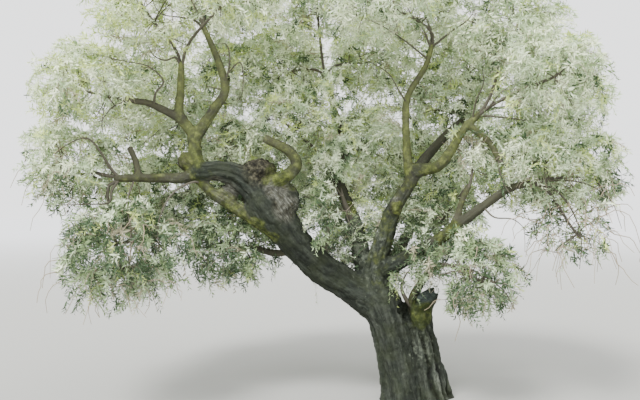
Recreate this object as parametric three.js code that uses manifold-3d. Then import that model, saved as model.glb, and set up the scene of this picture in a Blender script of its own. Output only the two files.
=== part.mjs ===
// An old olive tree: a leaning, fluted trunk of two grown-together stems, pollarded boughs and
// an open crown of separate masses of foliage. Millimetres, +Z up, origin at the middle of the
// flat cut under the trunk. -Y is the open front of the crown, and the trunk leans towards -X.
import * as THREE from "three";
import { mergeVertices } from "three/addons/utils/BufferGeometryUtils.js";
import Module from "manifold-3d";

const wasm = await Module();
wasm.setup();

// Driving sizes
const GAP = 0.3; // between solids that touch on the real tree
const GROUND_BLOCK = 3000; // width of the block that cuts the trunk off at the ground
const FLARE_HEIGHT = 330; // the root flare fades over this height
const HEAD_LENGTH = 0.12; // shares of a stem's or a limb's length over which it swells
const COLLAR_LENGTH = 0.14;
const KNOB_LENGTH = 0.22;
const THICK_LIMB = 240; // girth at the foot, for the number of sides
const THIN_LIMB = 120;
const UNEVENNESS = 0.045; // of a limb's radius
const CROWN_SQUASH = 0.86; // height of a mass against its width
const TYPICAL_RADIUS = 650; // of a mass

// Wood inside the masses
const STEM_RADIUS = 24;
const STEM_TIP_RADIUS = 14;
const STEM_STEPS = 4;
const STEM_JOINTS = [0.45, 0.7, 0.93]; // where twigs leave the stem
const STEM_PAST_MIDDLE = 0.25; // of the radius of the mass
const TWIGS_PER_MASS = 4.9; // in a mass of the typical radius
const FEWEST_TWIGS = 4;
const TWIG_REACH = 0.6; // of the radius of the mass, up to the foot of the twig's own blade
const TWIG_RADIUS = 10;
const TWIG_TIP_RADIUS = 6;
const TWIG_ROOT = 14; // depth over which a twig grows out of its stem
const TWIG_SIZES = [1, 0.8, 0.6, 0.45]; // a twig with no room is shortened to one of these

// Blades: each stands for a spray of leaves
const BLADE_LENGTH = 460;
const BLADE_WIDTH = 160;
const BLADE_THICKNESS = 9;
const BLADE_WAIST = 0.38; // where a blade is broadest
const BLADE_SHARES = [0.42, 0.78]; // where the side blades leave a twig
const BLADE_SIZES = [1, 0.8, 0.6]; // a blade with no room is shortened to one of these
const BLADE_GAP = 90; // between the spines of two blades
const HANG = 0.3; // how much a side blade of a mass that droops by 1 hangs
const SPACE_MARGIN = 9; // a blade keeps this far inside its own space
const WOOD_MARGIN = 12; // and this far from wood that isn't its own
const BALL_SPACING = 60; // of the balls that stand for that wood
const GOLDEN_ANGLE = Math.PI * (3 - Math.sqrt(5));

const bark = new THREE.MeshStandardMaterial({ color: 0x6b6352, roughness: 0.95, metalness: 0 });
const mossyBark = new THREE.MeshStandardMaterial({ color: 0x757338, roughness: 0.95, metalness: 0 });
const foliage = new THREE.MeshStandardMaterial({ color: 0xa3ad88, roughness: 0.7, metalness: 0 });

// The two stems of the trunk. route: along the middle; girth: width at its two ends;
// depth: front to back against the width; head: swelling or narrowing of the top
const STEMS = [
  {
    name: "main_stem", girth: [470, 500], depth: 1.12, head: -0.22,
    flare: 0.42, ribs: 5, ribHeight: 0.07, twist: 1.1,
    route: [[-130, 0, -120], [-190, 0, 280], [-265, 0, 640], [-345, 0, 940], [-450, 0, 1210],
      [-520, 10, 1400]],
  },
  {
    name: "right_stem", girth: [350, 290], depth: 1.2, head: 0.18,
    flare: 0.4, ribs: 4, ribHeight: 0.11, twist: 0.8,
    route: [[262, 50, -120], [192, 50, 320], [122, 40, 630], [62, 15, 910], [48, -10, 1110],
      [102, -15, 1275]],
  },
];

// The limbs, in the order they grow: a later one is cut to fit against an earlier one. It
// leaves the middle of the limb it grows from at a share of that one's length.
// girth: width at the foot and the tip; collar, knob: swelling there; burls: middle, half size
const LIMBS = [
  {
    name: "left_limb", from: "main_stem", at: 0.82, girth: [400, 345], collar: 0.25, knob: 0.42,
    route: [[-760, -20, 1320], [-1120, -80, 1560], [-1440, -150, 1880], [-1670, -200, 2160],
      [-1790, -230, 2320]],
    burls: [{ middle: [-1570, -240, 2370], half: [185, 110, 215] }],
  },
  {
    name: "upper_arm", from: "left_limb", at: 0.96, girth: [380, 200], collar: 0.1,
    route: [[-1870, -250, 2450], [-2020, -270, 2600], [-2200, -285, 2690], [-2400, -300, 2710],
      [-2560, -310, 2690]],
    burls: [{ middle: [-1870, -230, 2720], half: [205, 190, 135] }],
  },
  {
    name: "lower_arm", from: "left_limb", at: 0.82, girth: [170, 115], collar: 0.2, moss: true,
    route: [[-1800, -280, 2090], [-1990, -300, 2200], [-2200, -305, 2330], [-2400, -310, 2470],
      [-2530, -310, 2590]],
    burls: [{ middle: [-2240, -290, 2440], half: [150, 65, 100] }],
  },
  {
    name: "hook", from: "upper_arm", at: 0.33, girth: [190, 95], collar: 0.3, moss: true,
    route: [[-1560, -300, 2640], [-1420, -330, 2780], [-1500, -330, 2930], [-1800, -300, 3090]],
  },
  {
    name: "left_arm", from: "upper_arm", at: 0.95, girth: [140, 85], collar: 0.3, moss: true,
    route: [[-2720, -340, 2630], [-2950, -370, 2630], [-3440, -480, 2620]],
  },
  {
    name: "left_stub", from: "left_arm", at: 0.75, girth: [80, 66], collar: 0.2,
    route: [[-3260, -400, 2830], [-3330, -390, 2980]],
  },
  {
    name: "left_fork", from: "upper_arm", at: 1, girth: [175, 70], collar: 0.2, moss: true,
    route: [[-2595, -310, 2900], [-2615, -300, 3120], [-2770, -330, 3360], [-2750, -370, 3600],
      [-2730, -420, 3920]],
    burls: [{ middle: [-2715, -310, 2825], half: [85, 80, 105] }],
  },
  {
    name: "left_leader", from: "left_fork", at: 0.3, girth: [140, 62], collar: 0.1, moss: true,
    route: [[-2380, -250, 3440], [-2265, -200, 3640], [-2310, -160, 3900], [-2540, -60, 4440]],
  },
  {
    name: "left_twist", from: "left_fork", at: 0.52, girth: [105, 68], collar: 0.2,
    route: [[-2970, -360, 3420], [-3100, -400, 3480], [-3260, -450, 3500]],
  },
  {
    name: "middle_bough", from: "main_stem", at: 0.94, girth: [290, 96], collar: 0.1,
    route: [[-640, 150, 1670], [-715, 240, 2060], [-860, 340, 2450], [-1010, 400, 2800]],
  },
  {
    name: "centre_leader", from: "middle_bough", at: 0.86, girth: [110, 76], collar: 0.15,
    route: [[-830, 480, 3000], [-960, 520, 3500], [-1060, 480, 3880]],
  },
  {
    name: "right_bough", from: "main_stem", at: 0.92, girth: [300, 125], collar: 0.05,
    route: [[-455, -30, 1680], [-375, -50, 1970], [-295, -90, 2230], [-100, -160, 2560],
      [0, -200, 2740]],
    burls: [{ middle: [-262, -180, 2290], half: [85, 60, 95] }],
  },
  {
    name: "right_leader", from: "right_bough", at: 0.89, girth: [108, 60], collar: 0.3, moss: true,
    route: [[-120, -170, 2850], [-140, -130, 3300], [-110, -100, 3600], [110, -40, 3980],
      [190, 0, 4220]],
  },
  {
    name: "right_arm", from: "right_bough", at: 0.98, girth: [145, 78], collar: 0.1, moss: true,
    route: [[220, -240, 2770], [330, -260, 2890], [530, -250, 3210], [700, -230, 3370]],
  },
  {
    name: "right_droop", from: "right_arm", at: 0.83, girth: [84, 66], collar: 0.2,
    route: [[720, -290, 3120], [830, -320, 3000], [900, -350, 2840]],
  },
  {
    name: "back_arm", from: "right_bough", at: 0.97, girth: [130, 92], collar: 0.2,
    route: [[130, 10, 2900], [440, 320, 3200], [750, 620, 3460]],
  },
  {
    name: "right_low", from: "right_bough", at: 0.14, girth: [200, 70], collar: 0.2,
    route: [[-40, -140, 1740], [320, -240, 1980], [690, -300, 2270], [1030, -350, 2510],
      [1280, -390, 2570]],
  },
  {
    name: "right_low_shoot", from: "right_low", at: 0.47, girth: [84, 66], collar: 0.3,
    route: [[455, -240, 2210], [520, -250, 2420], [570, -260, 2520]],
  },
  {
    name: "low_bough", from: "right_stem", at: 0.74, girth: [120, 76], collar: 0.2,
    route: [[-60, -80, 1180], [10, -150, 1360], [110, -240, 1520], [230, -320, 1620]],
  },
  {
    name: "inner_shoot", from: "left_limb", at: 0.47, girth: [92, 66], collar: 0.3,
    route: [[-1080, -110, 1850], [-1060, -130, 1990]],
  },
  {
    name: "under_shoot", from: "left_limb", at: 0.63, girth: [100, 72], collar: 0.3,
    route: [[-1700, 120, 1730], [-1950, 200, 1790]],
  },
  {
    name: "back_left_bough", from: "left_limb", at: 0.58, girth: [200, 84], collar: 0.2,
    route: [[-1650, 420, 2000], [-2120, 860, 2360], [-2420, 1060, 2560]],
  },
  {
    name: "back_bough", from: "main_stem", at: 0.96, girth: [220, 86], collar: 0.2,
    route: [[-680, 640, 1780], [-1020, 1150, 2230], [-1120, 1330, 2420]],
  },
  {
    name: "back_right_bough", from: "main_stem", at: 0.94, girth: [200, 84], collar: 0.2,
    route: [[-170, 560, 1700], [160, 980, 2150], [330, 1180, 2420]],
  },
];

// The masses of foliage: the limb whose tip each grows from, its middle and its radius.
const MASSES = [
  { name: "left_outer", from: "left_arm", middle: [-4000, -350, 2780], radius: 720 },
  { name: "left_low", from: "left_arm", middle: [-3360, -660, 1740], radius: 790, droop: 1.5 },
  { name: "left_low_inner", from: "under_shoot", middle: [-2240, 260, 1790], radius: 680, droop: 1.3 },
  { name: "left_high", from: "left_twist", middle: [-3760, -430, 3600], radius: 740 },
  { name: "left_back_low", from: "back_left_bough", middle: [-3280, 950, 2380], radius: 820, droop: 1.2 },
  { name: "left_back_high", from: "back_left_bough", middle: [-3180, 850, 3560], radius: 840 },
  { name: "left_back_inner", from: "back_left_bough", middle: [-2380, 620, 3000], radius: 680 },
  { name: "left_inner_high", from: "back_left_bough", middle: [-2330, 700, 3940], radius: 660 },
  { name: "back_left", from: "back_left_bough", middle: [-2250, 1850, 2800], radius: 800 },
  { name: "upper_left", from: "left_fork", middle: [-3060, -520, 4420], radius: 730 },
  { name: "front_left_high", from: "left_fork", middle: [-2060, -1000, 4560], radius: 620 },
  { name: "top_left", from: "left_leader", middle: [-2320, 250, 4860], radius: 720 },
  { name: "top_middle", from: "centre_leader", middle: [-1200, 50, 4820], radius: 680 },
  { name: "upper_back", from: "centre_leader", middle: [-1650, 1300, 4150], radius: 800 },
  { name: "high_back", from: "centre_leader", middle: [-430, 1350, 4300], radius: 800 },
  { name: "middle_left", from: "middle_bough", middle: [-1560, 560, 3320], radius: 680 },
  { name: "middle_right", from: "middle_bough", middle: [-520, 960, 3060], radius: 700 },
  { name: "top_right", from: "right_leader", middle: [60, 150, 4840], radius: 760 },
  { name: "front_high", from: "right_leader", middle: [-520, -800, 4540], radius: 660 },
  { name: "right_top", from: "right_arm", middle: [1050, -250, 4380], radius: 740 },
  { name: "front_right", from: "right_arm", middle: [1250, -1000, 3640], radius: 660 },
  { name: "right_mid", from: "right_droop", middle: [1250, -600, 2800], radius: 600, droop: 1.1 },
  { name: "right_back_top", from: "back_arm", middle: [850, 1150, 4200], radius: 760 },
  { name: "right_inner", from: "back_arm", middle: [440, 880, 3560], radius: 660 },
  { name: "right_high", from: "back_arm", middle: [1740, 180, 3560], radius: 720 },
  { name: "right_back", from: "back_arm", middle: [1620, 1080, 2820], radius: 790, droop: 1.1 },
  { name: "right_outer", from: "right_low", middle: [2040, -60, 2660], radius: 640 },
  { name: "right_hang", from: "right_low", middle: [1660, -560, 2060], radius: 580, droop: 1.6 },
  { name: "inner_right", from: "right_low_shoot", middle: [660, -60, 2920], radius: 500 },
  { name: "right_inner_low", from: "right_low_shoot", middle: [380, 300, 2140], radius: 570 },
  { name: "low_right", from: "low_bough", middle: [560, -500, 1500], radius: 640, droop: 1.2 },
  { name: "inner_left", from: "inner_shoot", middle: [-1130, -40, 2250], radius: 450 },
  { name: "back_middle", from: "back_bough", middle: [-1060, 1900, 2700], radius: 900 },
  { name: "back_right", from: "back_right_bough", middle: [330, 1850, 2620], radius: 900 },
];
const USUAL_DROOP = 0.7;

const vector = (xyz) => new THREE.Vector3(...xyz);
const mix = THREE.MathUtils.lerp;
const swell = (distance, width) => Math.exp(-((distance / width) ** 2));

// A small seeded generator, so that the tree grows the same way every time
function seeded(seed) {
  let state = seed >>> 0;
  return () => {
    state = (state + 0x6d2b79f5) >>> 0;
    let t = Math.imul(state ^ (state >>> 15), state | 1);
    t = (t + Math.imul(t ^ (t >>> 7), t | 61)) ^ t;
    return ((t ^ (t >>> 14)) >>> 0) / 2 ** 32;
  };
}

// Geometry to a solid. A profile that starts on its axis leaves triangles with two corners
// in one place there, which are dropped.
function solidOf(geometry) {
  const bare = geometry.index ? geometry.toNonIndexed() : geometry.clone();
  bare.deleteAttribute("normal");
  bare.deleteAttribute("uv");
  const merged = mergeVertices(bare, 1e-3);
  const corners = [];
  for (let i = 0; i < merged.index.count; i += 3) {
    const triangle = merged.index.array.slice(i, i + 3);
    if (new Set(triangle).size === 3) corners.push(...triangle);
  }
  const mesh = new wasm.Mesh({
    numProp: 3,
    vertProperties: merged.attributes.position.array,
    triVerts: new Uint32Array(corners),
  });
  return new wasm.Manifold(mesh);
}

// A solid back to geometry
function geometryOf(solid) {
  const mesh = solid.getMesh();
  const corners = new Float32Array(mesh.numVert * 3);
  for (let i = 0; i < mesh.numVert; i++) {
    corners.set(mesh.vertProperties.subarray(i * mesh.numProp, i * mesh.numProp + 3), i * 3);
  }
  const geometry = new THREE.BufferGeometry();
  geometry.setAttribute("position", new THREE.BufferAttribute(corners, 3));
  geometry.setIndex(new THREE.BufferAttribute(mesh.triVerts, 1));
  geometry.computeVertexNormals();
  return geometry;
}

const largest = (solid) => solid.decompose().reduce((a, b) => (b.volume() > a.volume() ? b : a));

// A closed cylinder bent along a curve. radiusAt(share, angle) gives its radius, and grow
// makes it that much fatter and longer.
function bentCylinder(curve, radiusAt, sides, steps, grow = 0) {
  const geometry = new THREE.CylinderGeometry(1, 1, 1, sides, steps);
  const frames = curve.computeFrenetFrames(steps, false);
  const corner = geometry.attributes.position;
  for (let i = 0; i < corner.count; i++) {
    const share = corner.getY(i) + 0.5;
    const ring = Math.round(share * steps);
    const angle = Math.atan2(corner.getX(i), corner.getZ(i));
    const out = Math.hypot(corner.getX(i), corner.getZ(i)) * (radiusAt(share, angle) + grow);
    const past = ring === 0 ? -grow : ring === steps ? grow : 0;
    const place = curve
      .getPointAt(share)
      .addScaledVector(frames.tangents[ring], past)
      .addScaledVector(frames.normals[ring], out * Math.cos(angle))
      .addScaledVector(frames.binormals[ring], out * Math.sin(angle));
    corner.setXYZ(i, place.x, place.y, place.z);
  }
  return geometry;
}

// The middle line of each stem and limb
const curves = new Map();
for (const stem of STEMS) {
  curves.set(stem.name, new THREE.CatmullRomCurve3(stem.route.map(vector)));
}
for (const limb of LIMBS) {
  const foot = curves.get(limb.from).getPointAt(limb.at);
  const route = [foot, ...limb.route.map(vector)];
  curves.set(limb.name, new THREE.CatmullRomCurve3(route, false, "centripetal"));
}

// The trunk: two fluted stems with a root flare, joined and cut off flat at the ground
function stemRadius(stem, height, share, angle) {
  const flare = stem.flare * Math.exp(-height / FLARE_HEIGHT);
  const head = 1 + stem.head * swell(1 - share, HEAD_LENGTH);
  const ribs = (stem.ribHeight + 0.25 * flare) * Math.cos(stem.ribs * angle + stem.twist * share * Math.PI);
  const lobes = (stem.depth - 1) * Math.cos(2 * angle);
  return (mix(...stem.girth, share) / 2) * (1 + flare) * head * (1 + ribs + lobes);
}

function trunkSolid(grow) {
  const stems = STEMS.map((stem) => {
    const curve = curves.get(stem.name);
    const radiusAt = (share, angle) => stemRadius(stem, share * curve.getLength(), share, angle);
    return solidOf(bentCylinder(curve, radiusAt, 18, 9, grow));
  });
  const below = new THREE.BoxGeometry(GROUND_BLOCK, GROUND_BLOCK, GROUND_BLOCK);
  below.translate(0, 0, -GROUND_BLOCK / 2);
  return largest(stems[0].add(stems[1]).subtract(solidOf(below)));
}

// A limb tapers from its foot to its tip, with a collar at the foot and a knob at the tip.
function limbRadius(limb, share) {
  const collar = 1 + limb.collar * swell(share, COLLAR_LENGTH);
  const knob = 1 + (limb.knob ?? 0) * swell(1 - share, KNOB_LENGTH);
  return (mix(...limb.girth, share) / 2) * collar * knob;
}

function limbSolid(limb, grow) {
  const curve = curves.get(limb.name);
  const thick = limb.girth[0] > THICK_LIMB;
  const sides = thick ? 10 : limb.girth[0] > THIN_LIMB ? 8 : 6;
  const steps = Math.max(3, Math.round(curve.getLength() / (thick ? 180 : 210)));
  const bumps = (share, angle) => Math.sin(3 * angle + 11 * share) * Math.sin(Math.PI * share);
  const radiusAt = (share, angle) => limbRadius(limb, share) * (1 + UNEVENNESS * bumps(share, angle));
  const burls = (limb.burls ?? []).map(({ middle, half }) => {
    const ball = new THREE.IcosahedronGeometry(1, 1);
    ball.scale(...half.map((size) => size + grow)).translate(...middle);
    return solidOf(ball);
  });
  const shaft = solidOf(bentCylinder(curve, radiusAt, sides, steps, grow));
  return wasm.Manifold.union([shaft, ...burls]);
}

const tree = new THREE.Group();
function addMesh(name, solid, material) {
  const mesh = new THREE.Mesh(geometryOf(solid), material);
  mesh.name = name;
  tree.add(mesh);
}

addMesh("trunk", trunkSolid(0), bark);
const grown = [trunkSolid(GAP)];
for (const limb of LIMBS) {
  const cut = grown.reduce((solid, earlier) => solid.subtract(earlier), limbSolid(limb, 0));
  addMesh(limb.name, largest(cut).simplify(0.05), limb.moss ? mossyBark : bark);
  grown.push(limbSolid(limb, GAP));
}

// Where the stems, the limbs and the masses' own stems are, as balls along their middle
// lines, for keeping blades clear of them. owner: the mass whose stem it is
const woodBalls = [];
function addBalls(curve, radiusAt, owner) {
  const count = Math.ceil(curve.getLength() / BALL_SPACING);
  for (let i = 0; i <= count; i++) {
    woodBalls.push({ place: curve.getPointAt(i / count), radius: radiusAt(i / count), owner });
  }
}
for (const stem of STEMS) addBalls(curves.get(stem.name), () => 0.62 * Math.max(...stem.girth));
for (const limb of LIMBS) {
  addBalls(curves.get(limb.name), (share) => limbRadius(limb, share));
  for (const { middle, half } of limb.burls ?? []) {
    woodBalls.push({ place: vector(middle), radius: Math.max(...half) });
  }
}

// Stems leave the tip of their limb side by side, each on the side of its own mass, and as
// thick as leaves room for them all.
function placeStems(limb) {
  const sharing = MASSES.filter((mass) => mass.from === limb.name);
  if (sharing.length === 0) return;
  const tip = curves.get(limb.name).getPointAt(1);
  const along = curves.get(limb.name).getTangentAt(1);
  const across = new THREE.Vector3(0, 0, 1).cross(along).normalize();
  const over = new THREE.Vector3().crossVectors(along, across);
  for (const mass of sharing) {
    mass.centre = vector(mass.middle);
    const way = mass.centre.clone().sub(tip);
    mass.side = Math.atan2(way.dot(over), way.dot(across));
  }
  sharing.sort((a, b) => a.side - b.side);
  const alone = sharing.length === 1;
  const half = Math.sin(Math.PI / sharing.length);
  const room = limbRadius(limb, 1);
  const radius = alone ? STEM_RADIUS : Math.min(STEM_RADIUS, (room * half) / (1 + half));
  const spread = alone ? 0 : room - radius;
  sharing.forEach((mass, i) => {
    const angle = sharing[0].side + (i * 2 * Math.PI) / sharing.length;
    const foot = tip.clone().addScaledVector(along, GAP);
    foot.addScaledVector(across, spread * Math.cos(angle)).addScaledVector(over, spread * Math.sin(angle));
    const way = mass.centre.clone().sub(foot);
    mass.footRadius = radius - 2 * GAP;
    mass.stem = new THREE.CubicBezierCurve3(
      foot,
      foot.clone().addScaledVector(along, 0.3 * way.length()),
      foot.clone().addScaledVector(way, 0.65),
      mass.centre.clone().addScaledVector(way.normalize(), mass.radius * STEM_PAST_MIDDLE),
    );
    addBalls(mass.stem, () => radius, mass);
  });
}

// The space of a mass is a squashed ball, cut off flat against each neighbour's.
const squashed = (a, b) => Math.hypot(a.x - b.x, a.y - b.y, (a.z - b.z) / CROWN_SQUASH);

function inSpace(mass, place) {
  const own = squashed(place, mass.centre) ** 2 - mass.radius ** 2;
  if (own > 0) return false;
  return MASSES.every((other) => {
    if (other === mass) return true;
    const theirs = squashed(place, other.centre) ** 2 - other.radius ** 2;
    return theirs - own > 2 * SPACE_MARGIN * squashed(mass.centre, other.centre);
  });
}

function isFree(mass, place, room) {
  const clear = (ball) => ball.owner === mass || ball.place.distanceTo(place) > ball.radius + room;
  return inSpace(mass, place) && woodBalls.every(clear);
}

// A slim three-sided piece along a straight line, flat where it is broader than a twig.
// profile: places along the line, each with the radius there
function spindle(profile, from, along, face) {
  const points = profile.map(([place, radius]) => new THREE.Vector2(radius, place));
  const geometry = new THREE.LatheGeometry(points, 3);
  const corner = geometry.attributes.position;
  for (let i = 0; i < corner.count; i++) {
    const radius = Math.hypot(corner.getX(i), corner.getZ(i));
    if (radius > TWIG_RADIUS) corner.setZ(i, (corner.getZ(i) * BLADE_THICKNESS) / (1.5 * radius));
  }
  const side = new THREE.Vector3().crossVectors(along, face).normalize();
  const up = new THREE.Vector3().crossVectors(side, along);
  geometry.applyMatrix4(new THREE.Matrix4().makeBasis(side, along, up).setPosition(from));
  return solidOf(geometry);
}

const bladeRadius = (length) => ((BLADE_WIDTH / Math.sqrt(3)) * length) / BLADE_LENGTH;

// Whether a blade fits: inside the space of its mass, clear of wood and of other blades
function bladeFits(mass, spines, root, along, face, length) {
  const side = new THREE.Vector3().crossVectors(along, face).normalize();
  const place = (share, out) =>
    root.clone().addScaledVector(along, share * length).addScaledVector(side, out * bladeRadius(length));
  const spine = [place(BLADE_WAIST, 0), place(0.7, 0), place(1, 0)];
  const outline = [place(0.25, 0), place(BLADE_WAIST, 1), place(BLADE_WAIST, -1), ...spine];
  if (!outline.every((spot) => isFree(mass, spot, WOOD_MARGIN))) return false;
  return spines.every((other) => spine.every((a) => other.every((b) => a.distanceTo(b) > BLADE_GAP)));
}

// The length of the longest blade that fits at root, or 0. Its spine is added to the others.
function bladeLength(mass, spines, root, along, face) {
  const fits = (size) => bladeFits(mass, spines, root, along, face, size * BLADE_LENGTH);
  const length = (BLADE_SIZES.find(fits) ?? 0) * BLADE_LENGTH;
  if (length > 0) {
    spines.push([BLADE_WAIST, 0.7, 1].map((share) => root.clone().addScaledVector(along, share * length)));
  }
  return length;
}

// Directions spread evenly all round, turned by chance
function directions(count, random) {
  const start = random() * 2 * Math.PI;
  return Array.from({ length: count }, (_, i) => {
    const rise = 1 - (2 * i + 1) / count;
    const ring = Math.sqrt(1 - rise * rise);
    const turn = start + i * GOLDEN_ANGLE;
    return new THREE.Vector3(ring * Math.cos(turn), ring * Math.sin(turn), rise * CROWN_SQUASH);
  });
}

// The part of the way that a twig can take from its joint, or 0
function twigSize(mass, joint, way) {
  const free = (share) => isFree(mass, joint.clone().addScaledVector(way, share), TWIG_RADIUS);
  return TWIG_SIZES.find((size) => [0.5, 0.8, 1].every((share) => free(share * size))) ?? 0;
}

// A mass grows from its stem. Twigs go out from it evenly on all sides, each from the nearest
// joint, and carry one blade at the tip and others along their length. What has no room is
// shortened or left out.
function massSolid(mass, seed) {
  const random = seeded(seed);
  const stemRadiusAt = (share) => mix(mass.footRadius, STEM_TIP_RADIUS, share);
  const parts = [solidOf(bentCylinder(mass.stem, stemRadiusAt, 3, STEM_STEPS))];
  const joints = STEM_JOINTS.map((share) => mass.stem.getPointAt(share));
  const hang = new THREE.Vector3(0, 0, -HANG * (mass.droop ?? USUAL_DROOP));
  const count = Math.round(TWIGS_PER_MASS * (mass.radius / TYPICAL_RADIUS) ** 1.3);
  const spines = [];
  for (const away of directions(Math.max(count, FEWEST_TWIGS), random)) {
    const reach = mass.radius * (TWIG_REACH + 0.14 * (random() - 0.5));
    const face = new THREE.Vector3(random() - 0.5, random() - 0.5, 1.1).normalize();
    const turn = Math.PI * random();
    const end = mass.centre.clone().addScaledVector(away, reach);
    const joint = joints.reduce((a, b) => (b.distanceTo(end) < a.distanceTo(end) ? b : a));
    const way = end.sub(joint);
    const twig = twigSize(mass, joint, way) * way.length();
    if (twig === 0) continue;

    const out = way.normalize();
    const onTwig = (share) => joint.clone().addScaledVector(out, share * twig);
    const blade = bladeLength(mass, spines, onTwig(1), out, face);
    const wood = [[0, 0], [TWIG_ROOT, TWIG_RADIUS], [twig, TWIG_TIP_RADIUS]];
    const tip = blade > 0
      ? [[twig + BLADE_WAIST * blade, bladeRadius(blade)], [twig + blade, 0]]
      : [[twig + TWIG_RADIUS, 0]];
    parts.push(spindle([...wood, ...tip], joint, out, face));

    const across = new THREE.Vector3().crossVectors(out, face).normalize();
    for (const [i, share] of BLADE_SHARES.entries()) {
      const side = across.clone().applyAxisAngle(out, turn + Math.PI * (i + 0.3 * random()));
      const along = out.clone().multiplyScalar(0.6).addScaledVector(side, 0.8).add(hang).normalize();
      const length = bladeLength(mass, spines, onTwig(share), along, face);
      if (length === 0) continue;
      const profile = [[0, 0], [BLADE_WAIST * length, bladeRadius(length)], [length, 0]];
      parts.push(spindle(profile, onTwig(share), along, face));
    }
  }
  return largest(wasm.Manifold.union(parts).simplify(2));
}

for (const limb of LIMBS) placeStems(limb);
MASSES.forEach((mass, i) => addMesh(`${mass.name}_foliage`, massSolid(mass, i + 1), foliage));

export default tree;
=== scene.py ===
# An old olive tree: a leaning, fluted trunk of two grown-together stems, pollarded limbs with
# moss, dead wood and saw cuts, and an open crown of twigs and small silvery leaves.
import math
from functools import partial
from types import SimpleNamespace

import bpy
import numpy as np
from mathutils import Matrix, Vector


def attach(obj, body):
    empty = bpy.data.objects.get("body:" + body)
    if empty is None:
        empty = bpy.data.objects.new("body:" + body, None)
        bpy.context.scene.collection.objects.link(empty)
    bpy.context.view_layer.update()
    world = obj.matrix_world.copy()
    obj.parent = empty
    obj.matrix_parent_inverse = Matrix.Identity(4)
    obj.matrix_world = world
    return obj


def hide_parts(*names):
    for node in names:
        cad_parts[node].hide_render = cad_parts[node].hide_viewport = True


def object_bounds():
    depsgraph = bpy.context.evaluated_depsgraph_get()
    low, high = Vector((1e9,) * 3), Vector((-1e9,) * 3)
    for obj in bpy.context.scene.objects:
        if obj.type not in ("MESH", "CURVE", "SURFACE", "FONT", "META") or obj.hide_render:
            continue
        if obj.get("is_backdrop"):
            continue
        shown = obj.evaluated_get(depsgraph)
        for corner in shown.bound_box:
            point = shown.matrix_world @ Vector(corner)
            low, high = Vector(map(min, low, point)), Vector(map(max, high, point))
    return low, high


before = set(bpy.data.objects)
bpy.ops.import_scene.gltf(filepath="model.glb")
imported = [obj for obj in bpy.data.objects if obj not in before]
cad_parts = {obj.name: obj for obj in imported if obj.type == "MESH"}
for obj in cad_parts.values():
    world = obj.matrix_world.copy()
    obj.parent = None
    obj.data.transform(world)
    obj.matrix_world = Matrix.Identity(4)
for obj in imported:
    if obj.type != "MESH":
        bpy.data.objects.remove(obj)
cad_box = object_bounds()

# How the wood runs
# Two stems have grown together into the trunk, and each limb leaves the middle of the one that
# it grows from, at a share of that one's length. The tables are in millimetres, as in the
# solids, and all that is made from them is in metres.
MM = 0.001
FLARE_HEIGHT = 330
HEAD_LENGTH = 0.12
COLLAR_LENGTH = 0.14
KNOB_LENGTH = 0.22
UNEVENNESS = 0.045
STEM_RINGS, LIMB_RINGS = 0.045, 0.03  # how far apart the rings along them are, in metres
CURVE_STEPS = 200
NUDGE = 1e-4

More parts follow.
